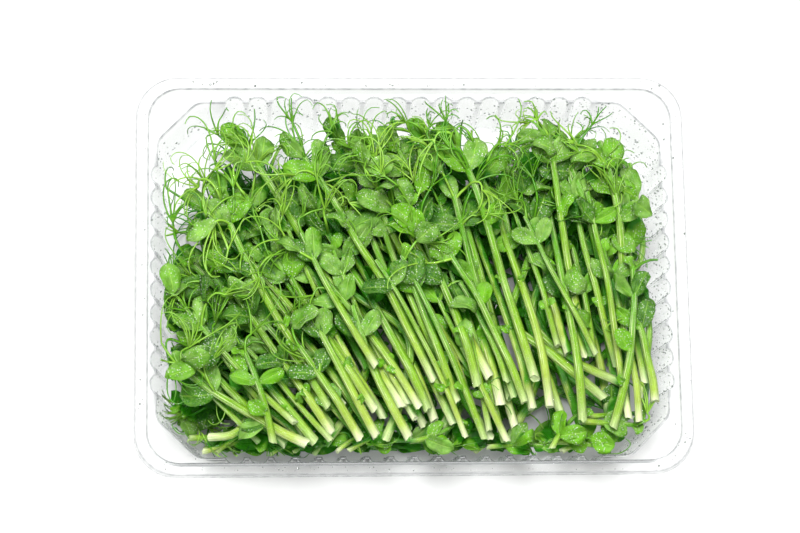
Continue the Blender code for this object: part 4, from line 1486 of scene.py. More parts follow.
@dataclass
class GrowTree:
    """The Geometry Nodes tree that grows stems, threads and leaves on a skeleton."""

    stem_sides: int = 12
    thread_sides: int = 4
    stem_step: float = 0.0025
    thread_step: float = 0.0014
    leaf_across: int = 5
    leaf_along: int = 11
    outline: Line = (
        (0.0, 0.10), (0.10, 0.40), (0.26, 0.80), (0.44, 0.99),
        (0.60, 1.0), (0.78, 0.88), (0.92, 0.58), (1.0, 0.14),
    )
    ruffle: float = 0.0007
    ruffles: float = 9.0
    ruffle_slant: float = 1.6
    unfolding: float = 0.45
    edge_thinning: float = 0.7
    twist: float = 0.7
    twist_spread: float = 3.0
    ridge: float = 0.11
    ridges: float = 4.0

    def build(self) -> None:
        """Builds the tree."""
        inputs = {
            "Geometry": ("Geometry", None),
            "Stem Sides": ("Int", self.stem_sides),
            "Thread Sides": ("Int", self.thread_sides),
            "Stem Step": ("Float", self.stem_step),
            "Thread Step": ("Float", self.thread_step),
            "Leaf Across": ("Int", self.leaf_across),
            "Leaf Along": ("Int", self.leaf_along),
            "Ruffle": ("Float", self.ruffle),
            "Stem Finish": ("Material", None),
            "Thread Finish": ("Material", None),
            "Leaf Finish": ("Material", None),
        }
        self.tree = new_group("grow_shoot", "Geometry", inputs, {"Geometry": "Geometry"})
        self.g = g = Shape(self.tree)
        given = g.add("NodeGroupInput").outputs
        is_leaf, is_thread = (
            g.add("FunctionNodeCompare", {"A": g.named("part"), "B": least}, operation="GREATER_THAN")
            for least in (Part.LEAF - 0.5, Part.THREAD - 0.5)
        )
        leaves = g.add("SeparateGeometry", {"Geometry": given["Geometry"], "Selection": is_leaf})
        lines = g.add("SeparateGeometry", {"Geometry": leaves.outputs["Inverted"], "Selection": is_thread})
        joined = g.add("JoinGeometry", {0: self.leaves(leaves.outputs["Selection"], given)})
        for kind, output in (("Thread", "Selection"), ("Stem", "Inverted")):
            sizes = (given[kind + suffix] for suffix in (" Step", " Sides", " Finish"))
            g.feed(joined.inputs[0], self.tubes(lines.outputs[output], *sizes))
        g.add("NodeGroupOutput", {0: g.add("SetShadeSmooth", {"Geometry": joined})})

    def tubes(self, lines: object, step: object, sides: object, finish: object) -> Node:
        """Makes smooth tapering tubes along lines.

        Args:
            lines: The lines, as edges.
            step: Distance between the rings of a tube.
            sides: Number of its sides.
            finish: Its material.

        Returns:
            The node that gives the tubes.
        """
        g = self.g
        curves = g.add("MeshToCurve", {"Mesh": lines})
        bent = g.add("CurveSplineType", {"Curve": curves}, spline_type="CATMULL_ROM")
        even = g.add("ResampleCurve", {"Curve": bent, "Length": step}, mode="LENGTH")
        ring = g.add("CurvePrimitiveCircle", {"Resolution": sides, "Radius": 1.0})
        place = g.out(g.add("InputPosition"))
        x, y, _ = g.split(place)
        beat = g.maths("COSINE", g.times(g.maths("ARCTAN2", y, x), self.ridges))
        feeds = {0: place, "Scale": g.maths("MULTIPLY_ADD", beat, self.ridge, 1.0)}
        wider = g.add("ShaderNodeVectorMath", feeds, operation="SCALE")
        ridged = g.add("SetPosition", {"Geometry": ring, "Position": wider})
        length = g.out(g.add("SplineParameter"), "Length")
        tube = g.add("CurveToMesh", {
            "Curve": g.stored(even, "run", length, "FLOAT"), "Profile Curve": g.stored(ridged, "ring", place),
            "Scale": g.named("girth"), "Fill Caps": True,
        })
        x, y, _ = g.split(g.named("ring", "FLOAT_VECTOR"))
        skinned = g.stored(tube, "skin", g.joined(x, y, g.times(g.named("run"), 10.0)))
        return g.add("SetMaterial", {"Geometry": skinned, "Material": finish})

    def leaves(self, places: object, given: object) -> Node:
        """Makes folded, arched and waved leaves at their places.

        Args:
            places: The leaf places, as loose points.
            given: The tree's inputs.

        Returns:
            The node that gives the leaves.
        """
        g = self.g
        counts = {"Vertices X": given["Leaf Across"], "Vertices Y": given["Leaf Along"], "Vertices Z": 2}
        cube = g.add("MeshCube", {"Size": (2.0, 1.0, 2.0), **counts})
        at = g.moved(g.add("InputPosition"), (0.0, 0.5, 0.0))
        copies = g.add("InstanceOnPoints", {"Points": places, "Instance": g.stored(cube, "blade", at)})
        real = g.add("RealizeInstances", {"Geometry": copies})
        v, u, side = g.split(g.named("blade", "FLOAT_VECTOR"))
        length, width, sheet = g.split(g.named("size", "FLOAT_VECTOR"))
        fold, arch, phase = g.split(g.named("form", "FLOAT_VECTOR"))
        outline = g.add("ShaderNodeFloatCurve", {"Value": u})
        self.draw_outline(outline)
        out = g.times(g.times(v, outline), g.times(width, 0.5))
        angle = g.times(fold, g.maths("MULTIPLY_ADD", u, -self.unfolding, 1.0))
        rise = g.times(g.maths("ABSOLUTE", out), g.maths("SINE", angle))
        bow = g.times(g.times(u, g.maths("SUBTRACT", 1.0, u)), g.times(arch, 4.0))
        slant = g.maths("MULTIPLY_ADD", v, self.ruffle_slant, phase)
        beat = g.maths("SINE", g.maths("ADD", g.times(u, self.ruffles), slant))
        edge = g.times(v, v)
        wave = g.times(g.times(beat, edge), given["Ruffle"])
        thinner = g.maths("MULTIPLY_ADD", edge, -self.edge_thinning, 1.0)
        thin = g.times(g.times(side, 0.5), g.times(sheet, thinner))
        z = g.maths("ADD", g.maths("ADD", rise, g.times(bow, length)), g.maths("ADD", wave, thin))
        flat = g.joined(g.times(out, g.maths("COSINE", angle)), g.times(u, length), z)
        twist = g.times(g.maths("SINE", g.times(phase, self.twist_spread)), g.times(u, self.twist))
        local = g.add("ShaderNodeVectorRotate", {"Vector": flat, "Axis": (0.0, 1.0, 0.0), "Angle": twist})
        turn = g.add("FunctionNodeEulerToRotation", {0: g.named("turn", "FLOAT_VECTOR")})
        aimed = g.add("FunctionNodeRotateVector", {"Vector": local, "Rotation": turn})
        there = g.moved(aimed, g.named("root", "FLOAT_VECTOR"))
        shaped = g.add("SetPosition", {"Geometry": real, "Position": there})
        return g.add("SetMaterial", {"Geometry": shaped, "Material": given["Leaf Finish"]})

    def draw_outline(self, node: Node) -> None:
        """Puts a leaf's outline on a Float Curve node.

        Args:
            node: The Float Curve node.
        """
        curve = node.mapping.curves[0]
        while len(curve.points) > 2:
            curve.points.remove(curve.points[1])
        curve.points[0].location, curve.points[1].location = self.outline[0], self.outline[-1]
        for place in self.outline[1:-1]:
            curve.points.new(*place)
        node.mapping.update()


def new_group(name: str, kind: str, inputs: dict[str, tuple], outputs: dict[str, str]) -> NodeTree:
    """Makes an empty node group.

    Args:
        name: Its name.
        kind: Shader or Geometry.
        inputs: The kind of each input and its value to start with, by name.
        outputs: The kind of each output, by name.

    Returns:
        The group's tree.
    """
    tree = bpy.data.node_groups.new(name, kind + "NodeTree")
    for label, (what, value) in inputs.items():
        socket = tree.interface.new_socket(label, in_out="INPUT", socket_type="NodeSocket" + what)
        if value is not None:
            socket.default_value = value
    for label, what in outputs.items():
        tree.interface.new_socket(label, in_out="OUTPUT", socket_type="NodeSocket" + what)
    return tree


def linked(name: str, data: bpy.types.ID) -> Object:
    """Makes an object and links it to the scene."""
    made = bpy.data.objects.new(name, data)
    bpy.context.scene.collection.objects.link(made)
    return made


def made_plain(guide: Object, name: str) -> Object:
    """Turns an object with live modifiers into a plain mesh object.

    Args:
        guide: The object, which is removed.
        name: The new object's name.

    Returns:
        The plain object, linked to the scene.
    """
    graph = bpy.context.evaluated_depsgraph_get()
    mesh = bpy.data.meshes.new_from_object(guide.evaluated_get(graph))
    mesh.name = name
    bpy.data.objects.remove(guide)
    return linked(name, mesh)


def grown(mesh: Mesh, name: str, tree: NodeTree, values: dict[str, object]) -> Object:
    """Runs a Geometry Nodes tree on a mesh.

    Args:
        mesh: The mesh.
        name: The name of the piece that it makes.
        tree: The tree.
        values: Values for the tree's inputs, by name.

    Returns:
        The piece as a plain mesh object, at the origin.
    """
    guide = linked(name + "_guide", mesh)
    modifier = guide.modifiers.new("grow", "NODES")
    modifier.node_group = tree
    for item in tree.interface.items_tree:
        if item.in_out == "INPUT" and item.name in values:
            modifier[item.identifier] = values[item.name]
    return made_plain(guide, name)


def points_of(mesh: Mesh) -> Array:
    """Gives the places of a mesh's points."""
    points = np.empty(len(mesh.vertices) * 3, np.float32)
    mesh.vertices.foreach_get("co", points)
    return points.reshape(-1, 3)


def triangles_of(mesh: Mesh) -> Array:
    """Gives the corners of a mesh's triangles."""
    mesh.calc_loop_triangles()
    faces = np.empty(len(mesh.loop_triangles) * 3, np.int32)
    mesh.loop_triangles.foreach_get("vertices", faces)
    return points_of(mesh)[faces.reshape(-1, 3)]


def finish_piece(piece: Object, slot: str, *nodes: str) -> None:
    """Puts a piece on the body in place of its nodes.

    Args:
        piece: The piece.
        slot: Not used.
        nodes: The solids that it stands for.
    """
    if nodes:
        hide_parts(*nodes)
    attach(piece, "root")
    log.info("%s: %d faces", piece.name, len(piece.data.polygons))


def frame_of(forward: Array, roll: float) -> Matrix:
    """Gives the rotation of a leaf.

    Args:
        forward: The way it points.
        roll: How far its left edge is turned up, in radians.

    Returns:
        The rotation from a leaf along +Y that faces +Z.
    """
    y = Vector(forward).normalized()
    left = Vector((-y.y, y.x, 0.0)).normalized()
    up = y.cross(-left)
    x = (-left * math.cos(roll) - up * math.sin(roll)).normalized()
    return Matrix((x, y, x.cross(y))).transposed()


@dataclass
class Greens:
    """All the shoots: their fine pieces in place of the plain solids, and what only the looks need.

    The leaves at the lower node, the tip and the lowest node are given by their size and how likely they are.
    """

    seed: int = 7
    ceiling: float = 0.0486
    wall_gap: float = 0.0006
    floor_gap: float = 0.0001
    leaf_sheet: float = 0.00032
    blade_growth: float = 0.98
    blade_slimness: float = 0.86
    back_line: Line = ((-0.086, 0.000), (-0.076, 0.014), (-0.060, 0.032), (-0.042, 0.046), (0.090, 0.049))
    fold: Range = (0.08, 0.80)
    young_size: float = 0.6
    tones: tuple[Range, ...] = ((0.0, 0.14), (0.24, 0.60), (0.70, 1.0))
    tone_shares: tuple[float, ...] = (0.36, 0.44, 0.20)
    back_tone_shares: tuple[float, ...] = (0.14, 0.66, 0.20)
    front_tone_shares: tuple[float, ...] = (0.22, 0.38, 0.40)
    back_from: float = 0.016
    front_to: float = -0.036
    node_turn: Range = (0.30, 0.95)
    node_leaves: tuple[tuple[float, float], ...] = ((0.72, 0.25), (0.42, 0.7), (0.34, 0.6))
    lowest_node: float = 0.25
    lowest_from_tip: float = 0.050
    nodes_apart: float = 0.1
    length_shares: Range = (0.8, 1.15)
    width_shares: Range = (0.75, 1.1)
    leaf_pitch: Range = (0.0, 0.75)
    leaf_roll: float = 0.45
    leaf_gap: float = 0.001
    leaf_from_wall: float = 0.3
    leaf_fit: Range = (0.6, 1.5)
    crown: Range = (0.0, 0.1)
    most_arch: float = 0.25
    least_bow: float = 0.3
    wild_back: tuple[Range, Range] = ((-0.010, 0.034), (0.30, 1.0))
    wild_left: tuple[Range, Range] = ((-0.070, -0.050), (1.0, 0.0))
    wild_front: tuple[Range, Range] = ((0.119, 0.123), (0.0, 1.0))
    calm_corner: tuple[Range, Range] = ((0.078, 0.092), (1.0, 0.25))
    corner_slant: float = 0.7
    fan_threads: tuple[int, int] = (4, 8)
    wild_loss: float = 0.5
    fan_chance: float = 0.85
    leaflet_chance: float = 0.3
    leaflet_size: float = 0.8
    contrary: float = 0.25
    back_shortening: tuple[Range, Range] = ((0.040, 0.054), (1.0, 0.55))
    back_edge: float = 0.054
    fan_spread: float = 0.62
    fan_slot: Range = (0.2, 0.8)
    calm_fan: float = 0.4
    thread_length: Range = (0.010, 0.024)
    thread_step: float = 0.0026
    thread_gap: float = 0.0004
    thread_pitch: Range = (-0.1, 1.2)
    thread_droop: Range = (0.5, 1.8)
    thread_bend: Range = (-0.2, 1.7)
    thread_hook: Range = (0.4, 3.4)
    thread_girth: Range = (0.00022, 0.00034)
    thread_taper: float = 0.5
    thread_steps: int = 4
    hook_power: int = 4
    most_push: float = 0.2
    stalk_length: Range = (0.007, 0.018)
    stalk_turn: float = 0.55
    stalk_pitch: float = 0.6
    stalk_girth: Range = (0.00050, 0.00033)
    cut_share: float = 0.01
    cut_slant: float = 0.35
    cut_rag: float = 0.00018
    cut_rim: float = 0.00035
    cut_hollow: float = 0.0005
    # Depths below the heap's top over which the greens' painted shade goes from none to full.
    painted_shade_range: Range = (0.0010, 0.0090)
    grow_tree: GrowTree = field(default_factory=GrowTree)

    def __post_init__(self) -> None:
        """Builds the growing tree and the finishes."""
        self.draw = np.random.default_rng(self.seed)
        self.grow_tree.build()
        self.finishes = {
            "Stem Finish": StemFinish().make(),
            "Thread Finish": TendrilFinish().make(),
            "Leaf Finish": LeafFinish().make(),
        }

    def build(self) -> list[Object]:
        """Builds every piece.

        Returns:
            The pieces: one for each of the shoots' nodes, and the loose shoots in groups.
        """
        laying = Laying()
        bundles = laying.all_bundles()
        self.cover = laying.heap
        pieces = []
        for bundle in bundles:
            skeleton = Skeleton()
            for shoot, heap in zip(bundle.shoots, bundle.heaps):
                self.add_shoot(skeleton, shoot, heap)
            name = "fine_" + bundle.name
            piece = grown(skeleton.made(name + "_lines"), name, self.grow_tree.tree, self.finishes)
            self.cut_ends(piece.data)
            self.keep_inside(piece.data)
            self.mark_shade_depth(piece.data)
            finish_piece(piece, "pea_shoot", *[bundle.name] * bundle.is_node)
            pieces.append(piece)
        return pieces

    def add_shoot(self, skeleton: Skeleton, shoot: Shoot, heap: Heap) -> None:
        """Adds one shoot's stem, leaves and tendrils to a skeleton.

        Args:
            skeleton: What to add them to.
            shoot: The shoot as laid.
            heap: The heap that it was laid on.
        """
        draw, stem = self.draw, shoot.stem
        skeleton.add_line(Part.STEM, stem.line(), stem.half_widths, draw.uniform(0, 1))
        for blade in shoot.blades:
            self.add_blade(skeleton, blade)
        for tendril in shoot.tendrils:
            line = tendril.line()[:-1]
            clear = np.count_nonzero(line[:, 1] < self.back_edge)
            self.add_fan(skeleton, line[:max(2, clear)], shoot, self.cover)
        upper, lower, tip = shoot.nodes()
        lowest = max(self.lowest_node, 1 - self.lowest_from_tip / shoot.length)
        there = (True, True, lowest < lower - self.nodes_apart)
        for share, grows, (size, chance) in zip((lower, tip, lowest), there, self.node_leaves):
            point, z, run = stem.at(share)
            likely = grows * chance * shoot.leafy * (1 - self.wild_loss * self.wildness(point))
            for hand in (-1, 1):
                if draw.random() < likely:
                    heading = turned(run, hand * draw.uniform(*self.node_turn))
                    self.add_leaf(skeleton, np.array([*point, z]), heading, size, shoot, heap)
        over = self.cover if shoot.lively else heap
        for share in (tip, upper):
            point, z, run = stem.at(share)
            if draw.random() < self.fan_chance * self.wildness(point):
                heading = turned(run, draw.normal(0, self.stalk_turn))
                stalk, root = draw.uniform(*self.stalk_length), np.array([*point, z])
                hand = draw.choice((-1, 1))
                line = self.thread_line(root, heading, stalk, self.stalk_pitch, shoot, over, hand)
                if len(line) > 2:
                    self.add_fan(skeleton, line, shoot, over)

    def wildness(self, point: Array) -> float:
        """Gives how many tendrils grow at a plan point: most at the back, the left and the front right."""
        x, y = point[:2]
        back, left = np.interp(y, *self.wild_back), np.interp(x, *self.wild_left)
        front = np.interp(x - y, *self.wild_front)
        return float(max(back, left, front) * np.interp(y - self.corner_slant * x, *self.calm_corner))

    def leaf_tone(self, size: float, y: float) -> float:
        """Draws how light a leaf is: deep, middle or lime, with fewer deep ones at the back and in front."""
        shares = self.front_tone_shares if y < self.front_to else self.tone_shares
        shares = self.back_tone_shares if y > self.back_from else shares
        low, high = self.tones[2 if size < self.young_size else self.draw.choice(3, p=shares)]
        return self.draw.uniform(low, high)

    def add_blade(self, skeleton: Skeleton, blade: Strip) -> None:
        """Adds the fine leaf of one of the solids' blades.

        Args:
            skeleton: What to add it to.
            blade: The blade as laid.
        """
        line = blade.line()
        chord = line[-1] - line[0]
        length = norm(chord)
        middle = line[len(line) // 2]
        share = norm((middle - line[0])[:2]) / max(norm(chord[:2]), 1e-6)
        above = middle[2] - (line[0][2] + share * chord[2])
        arch = above / length / max(4 * share * (1 - share), self.least_bow)
        width = 2 * blade.half_widths.max() * self.blade_slimness
        form = (self.draw.uniform(*self.fold), arch, self.draw.uniform(0, math.tau))
        size = (length * self.blade_growth, width, self.leaf_sheet)
        skeleton.add_leaf(line[0], frame_of(chord, blade.roll), size, form, self.leaf_tone(1.0, line[0][1]))

    def add_leaf(
        self, skeleton: Skeleton, root: Array, heading: Array, size: float, shoot: Shoot, heap: Heap,
    ) -> None:
        """Adds a leaf that only the looks have, unless what lies there leaves no room for it.

        Args:
            skeleton: What to add it to.
            root: Where it grows from.
            heading: Its heading in plan.
            size: Its size, as a share of the usual one.
            shoot: The shoot that it grows on.
            heap: What it lies on.
        """
        draw = self.draw
        length = SIZES.leaf_length * size * draw.uniform(*self.length_shares)
        width = SIZES.leaf_width * size * draw.uniform(*self.width_shares)
        pitch = draw.uniform(*self.leaf_pitch)
        room = shoot.wall_room + self.leaf_from_wall * width
        end = kept_in(root[:2] + length * math.cos(pitch) * heading, room)
        middle = (root[:2] + end) / 2
        tip_z = max(root[2] + length * math.sin(pitch), heap.height_at(end) + self.leaf_gap)
        crown = (root[2] + tip_z) / 2 + draw.uniform(*self.crown) * length
        middle_z = max(crown, heap.height_at(middle) + self.leaf_gap)
        chord = np.array([*(end - root[:2]), tip_z - root[2]])
        span = norm(chord)
        furthest = np.interp(end[0], *zip(*self.back_line))
        low, high = self.leaf_fit
        if tip_z > self.ceiling or end[1] > furthest or not low * length < span < high * length:
            return
        arch = min((middle_z - (root[2] + tip_z) / 2) / span, self.most_arch)
        form = (draw.uniform(*self.fold), arch, draw.uniform(0, math.tau))
        turn = frame_of(chord, draw.normal(0, self.leaf_roll))
        sizes = (min(span, length), width, self.leaf_sheet)
        skeleton.add_leaf(root, turn, sizes, form, self.leaf_tone(size, root[1]))

    def add_fan(self, skeleton: Skeleton, line: Array, shoot: Shoot, heap: Heap) -> None:
        """Adds a tendril: its stalk with leaflets, and the threads that fan out and curl from its end.

        Args:
            skeleton: What to add it to.
            line: The line of the stalk.
            shoot: The shoot that it grows on.
            heap: What it lies on.
        """
        draw = self.draw
        tone = draw.uniform(0.0, 1.0)
        skeleton.add_line(Part.THREAD, line, np.linspace(*self.stalk_girth, len(line)), tone)
        middle = line[len(line) // 2]
        run = (line[-1] - middle)[:2]
        run = run / max(norm(run), 1e-6)
        for hand in (-1, 1):
            if draw.random() < self.leaflet_chance:
                heading = turned(run, hand * draw.uniform(*self.node_turn))
                self.add_leaf(skeleton, middle, heading, self.leaflet_size, shoot, heap)
        wild = self.calm_fan + (1 - self.calm_fan) * self.wildness(line[-1])
        count = max(2, round(draw.uniform(*self.fan_threads) * wild))
        hand = draw.choice((-1, 1))
        for j in range(count):
            heading = turned(run, self.fan_spread * (2 * (j + draw.uniform(*self.fan_slot)) / count - 1))
            length = draw.uniform(*self.thread_length) * np.interp(line[-1][1], *self.back_shortening)
            side = -hand if draw.random() < self.contrary else hand
            pitch = draw.uniform(*self.thread_pitch)
            thread = self.thread_line(line[-1], heading, length, pitch, shoot, heap, side)
            girth = draw.uniform(*self.thread_girth)
            if len(thread) > 2:
                girths = np.linspace(girth, self.thread_taper * girth, len(thread))
                skeleton.add_line(Part.THREAD, thread, girths, tone)

    def thread_line(
        self, start: Array, heading: Array, length: float, pitch: float, shoot: Shoot, heap: Heap, hand: int,
    ) -> Array:
        """Leads a thread from its root to its hooked end.

        Args:
            start: Where it starts.
            heading: Its first heading in plan.
            length: Its length.
            pitch: How steeply it starts to rise, in radians.
            shoot: The shoot that it grows on.
            heap: What it lies on.
            hand: 1 if it hooks to the left and -1 if it hooks to the right.

        Returns:
            The points of its line, only a few where a wall is in its way.
        """
        draw = self.draw
        steps = max(self.thread_steps, round(length / self.thread_step))
        step = length / steps
        droop = draw.uniform(*self.thread_droop) / steps
        bend = hand * draw.uniform(*self.thread_bend) / steps
        hook = hand * draw.uniform(*self.thread_hook) * (self.hook_power + 1)
        points = [np.array(start, float)]
        for j in range(steps):
            heading = turned(heading, bend + hook * (j / steps) ** self.hook_power / steps)
            pitch -= droop
            wanted = points[-1][:2] + step * math.cos(pitch) * heading
            flat = kept_in(wanted, shoot.wall_room + self.wall_gap)
            if norm(flat - wanted) > self.most_push * step:
                break
            z = max(points[-1][2] + step * math.sin(pitch), heap.height_at(flat) + self.thread_gap)
            points.append(np.array([*flat, min(z, self.ceiling)]))
        return np.array(points)

    def cut_ends(self, mesh: Mesh) -> None:
        """Slants and roughens the stems' cut ends, and hollows them a little.

        Args:
            mesh: The grown mesh.
        """
        shape = bmesh.new()
        shape.from_mesh(mesh)
        share, sides = shape.verts.layers.float["share"], self.grow_tree.stem_sides
        ends = (face for face in shape.faces if len(face.verts) == sides)
        cuts = [end for end in ends if end.verts[0][share] < self.cut_share]
        for cut in cuts:
            middle, normal = cut.calc_center_median(), cut.normal.copy()
            lean = normal.orthogonal()
            lean.rotate(Matrix.Rotation(self.draw.uniform(0, math.tau), 3, normal))
            for vert in cut.verts:
                rag = self.draw.normal(0, self.cut_rag)
                vert.co += normal * (self.cut_slant * lean.dot(vert.co - middle) + rag)
        bmesh.ops.inset_individual(shape, faces=cuts, thickness=self.cut_rim, depth=-self.cut_hollow)
        shape.to_mesh(mesh)
        shape.free()

    def mark_shade_depth(self, mesh: Mesh) -> None:
        """Notes on each point how deep in the heap it is, from 0 on top to 1, for the greens' painted shade.
        """
        points = points_of(mesh)
        below = self.cover.near[self.cover.cells(points[:, :2])] - points[:, 2]
        deep = np.interp(below, self.painted_shade_range, (0.0, 1.0)).astype(np.float32)
        mesh.attributes.new("deep", "FLOAT", "POINT").data.foreach_set("value", deep)

    def keep_inside(self, mesh: Mesh) -> None:
        """Moves the few points that reach past the wall, the floor or the top of the part back inside.

        Args:
            mesh: The grown mesh.
        """
        points = points_of(mesh)
        points[:, 2] = np.clip(points[:, 2], TRAY.solid_sheet + self.floor_gap, self.ceiling)
        lean = TRAY.wall_lean * np.clip(points[:, 2] / TRAY.ledge_z, 0, 1) - self.wall_gap
        half = TRAY.floor.astype(np.float32) + lean[:, None]
        points[:, :2] = np.clip(points[:, :2], -half, half)
        over = np.abs(points[:, :2]).sum(axis=1) - (half.sum(axis=1) - TRAY.chamfer)
        points[:, :2] -= np.sign(points[:, :2]) * np.clip(over, 0, None)[:, None] / 2
        mesh.vertices.foreach_set("co", points.ravel())
        mesh.update()


@dataclass
class Dew:
    """Water on the greens and condensation on the tray's walls: small drops strewn over their faces."""

    green_density: float = 2.1e5
    tray_density: float = 2.2e5
    green_sizes: Range = (0.00010, 0.00030)
    tray_sizes: Range = (0.00014, 0.00052)
    flatness: float = 0.6
    open_depth: float = 0.004
    facing_up: float = 0.2
    steep: float = 0.5
    level: float = 0.9
    below_ledge: float = 0.001
    wet_from: float = -0.02
    left_share: float = 0.35
    flat_share: float = 0.5
    seed: int = 3

    def __post_init__(self) -> None:
        """Builds the scattering tree and the water."""
        self.tree = self.build_tree()
        # The greens' drops carry a share of plain white, a painted highlight; the tray's drops a share of
        # grey, painted shade.
        self.waters = {
            "dew_on_greens": WaterFinish("water", (1.0, 1.0, 1.0), 0.8).make(),
            "dew_on_tray": WaterFinish("water_on_tray", (0.42, 0.45, 0.43), 0.9).make(),
        }

    def build_tree(self) -> NodeTree:
        """Builds the tree that strews drops over faces.

        Returns:
            The tree.
        """
        floats = {name: ("Float", None) for name in ("Density", "Smallest", "Largest", "Flatness")}
        inputs = {"Geometry": ("Geometry", None), **floats}
        inputs |= {"Seed": ("Int", None), "Finish": ("Material", None)}
        tree = new_group("strew_drops", "Geometry", inputs, {"Geometry": "Geometry"})
        g = Shape(tree)
        given = g.add("NodeGroupInput").outputs
        feeds = {"Mesh": given["Geometry"], "Density": given["Density"], "Seed": given["Seed"]}
        spots = g.add("DistributePointsOnFaces", feeds)
        feeds = {"Min": 0.0, "Max": 1.0, "Seed": given["Seed"]}
        chance = g.add("FunctionNodeRandomValue", feeds, data_type="FLOAT")
        span = g.maths("SUBTRACT", given["Largest"], given["Smallest"])
        size = g.maths("MULTIPLY_ADD", g.maths("POWER", chance, 3.0), span, given["Smallest"])
        scale = g.joined(size, size, g.times(size, given["Flatness"]))
        drop = g.add("MeshUVSphere", {"Segments": 6, "Rings": 3, "Radius": 1.0})
        feeds = {"Points": spots, "Instance": drop, "Rotation": spots.outputs["Rotation"], "Scale": scale}
        drops = g.add("RealizeInstances", {"Geometry": g.add("InstanceOnPoints", feeds)})
        smooth = g.add("SetShadeSmooth", {"Geometry": drops})
        g.add("NodeGroupOutput", {0: g.add("SetMaterial", {"Geometry": smooth, "Material": given["Finish"]})})
        return tree

    def build(self, greens: list[Object], cover: Heap, tray: Object) -> None:
        """Builds both pieces of dew.

        Args:
            greens: The pieces of the greens.
            cover: The heap with everything on it.
            tray: The tray's piece.
        """
        corners = np.concatenate([triangles_of(piece.data) for piece in greens])
        middles, normals = corners.mean(axis=1), normals_of(corners)
        lowest = cover.near[cover.cells(middles[:, :2])] - self.open_depth
        on_top = (middles[:, 2] > lowest) & (normals[:, 2] > self.facing_up)
        self.strew("dew_on_greens", corners[on_top], self.green_density, self.green_sizes)
        corners = triangles_of(tray.data)
        middles, normals = corners.mean(axis=1), normals_of(corners)
        inward = np.einsum("ij,ij->i", normals[:, :2], middles[:, :2]) < 0
        wall = inward & (np.abs(normals[:, 2]) < self.steep) & (middles[:, 2] < TRAY.ledge_z)
        flat = (normals[:, 2] > self.level) & (middles[:, 2] > TRAY.ledge_z - self.below_ledge)
        right = np.interp(middles[:, 0], (self.wet_from, TRAY.cavity[0]), (self.left_share, 1.0))
        share = right * np.where(flat, self.flat_share, 1.0)
        chosen = (wall | flat) & (np.random.default_rng(self.seed).random(len(middles)) < share)
        self.strew("dew_on_tray", corners[chosen], self.tray_density, self.tray_sizes)

    def strew(self, name: str, corners: Array, density: float, sizes: Range) -> None:
        """Strews drops over triangles, as one piece.

        Args:
            name: The piece's name.
            corners: The triangles' corners.
            density: Drops for each square metre.
            sizes: The smallest and the largest radius.
        """
        mesh = bpy.data.meshes.new(name + "_faces")
        mesh.from_pydata(corners.reshape(-1, 3), [], np.arange(3 * len(corners)).reshape(-1, 3))
        values = {"Density": density, "Smallest": sizes[0], "Largest": sizes[1], "Flatness": self.flatness}
        values |= {"Seed": self.seed, "Finish": self.waters[name]}
        finish_piece(grown(mesh, name, self.tree, values), "water")


def normals_of(corners: Array) -> Array:
    """Gives the unit normals of triangles."""
    normals = np.cross(corners[:, 1] - corners[:, 0], corners[:, 2] - corners[:, 0])
    return normals / np.maximum(norm(normals, axis=1), 1e-12)[:, None]


def rounded_ring(half: Array, radius: float, steps: int) -> Line:
    """Lays points round a rectangle with rounded corners, anticlockwise from the right.

    Args:
        half: Half its length and half its width.
        radius: Radius of its corners.
        steps: Number of steps in each corner.

    Returns:
        The plan points.
    """
    points = []
    for quarter, signs in enumerate(((1, 1), (-1, 1), (-1, -1), (1, -1))):
        centre = signs * (half - radius)
        for angle in math.pi / 2 * (quarter + np.arange(steps + 1) / steps):
            points.append(tuple(centre + radius * np.array([math.cos(angle), math.sin(angle)])))
    return points


def set_back(way: float, radius: float) -> float:
    """Gives how far an arc lies from the line that it leaves, on the way to where the two part."""
    t = max(0.0, 1 - way / radius)
    return radius * (1 - math.sqrt(max(0.0, 1 - t * t)))


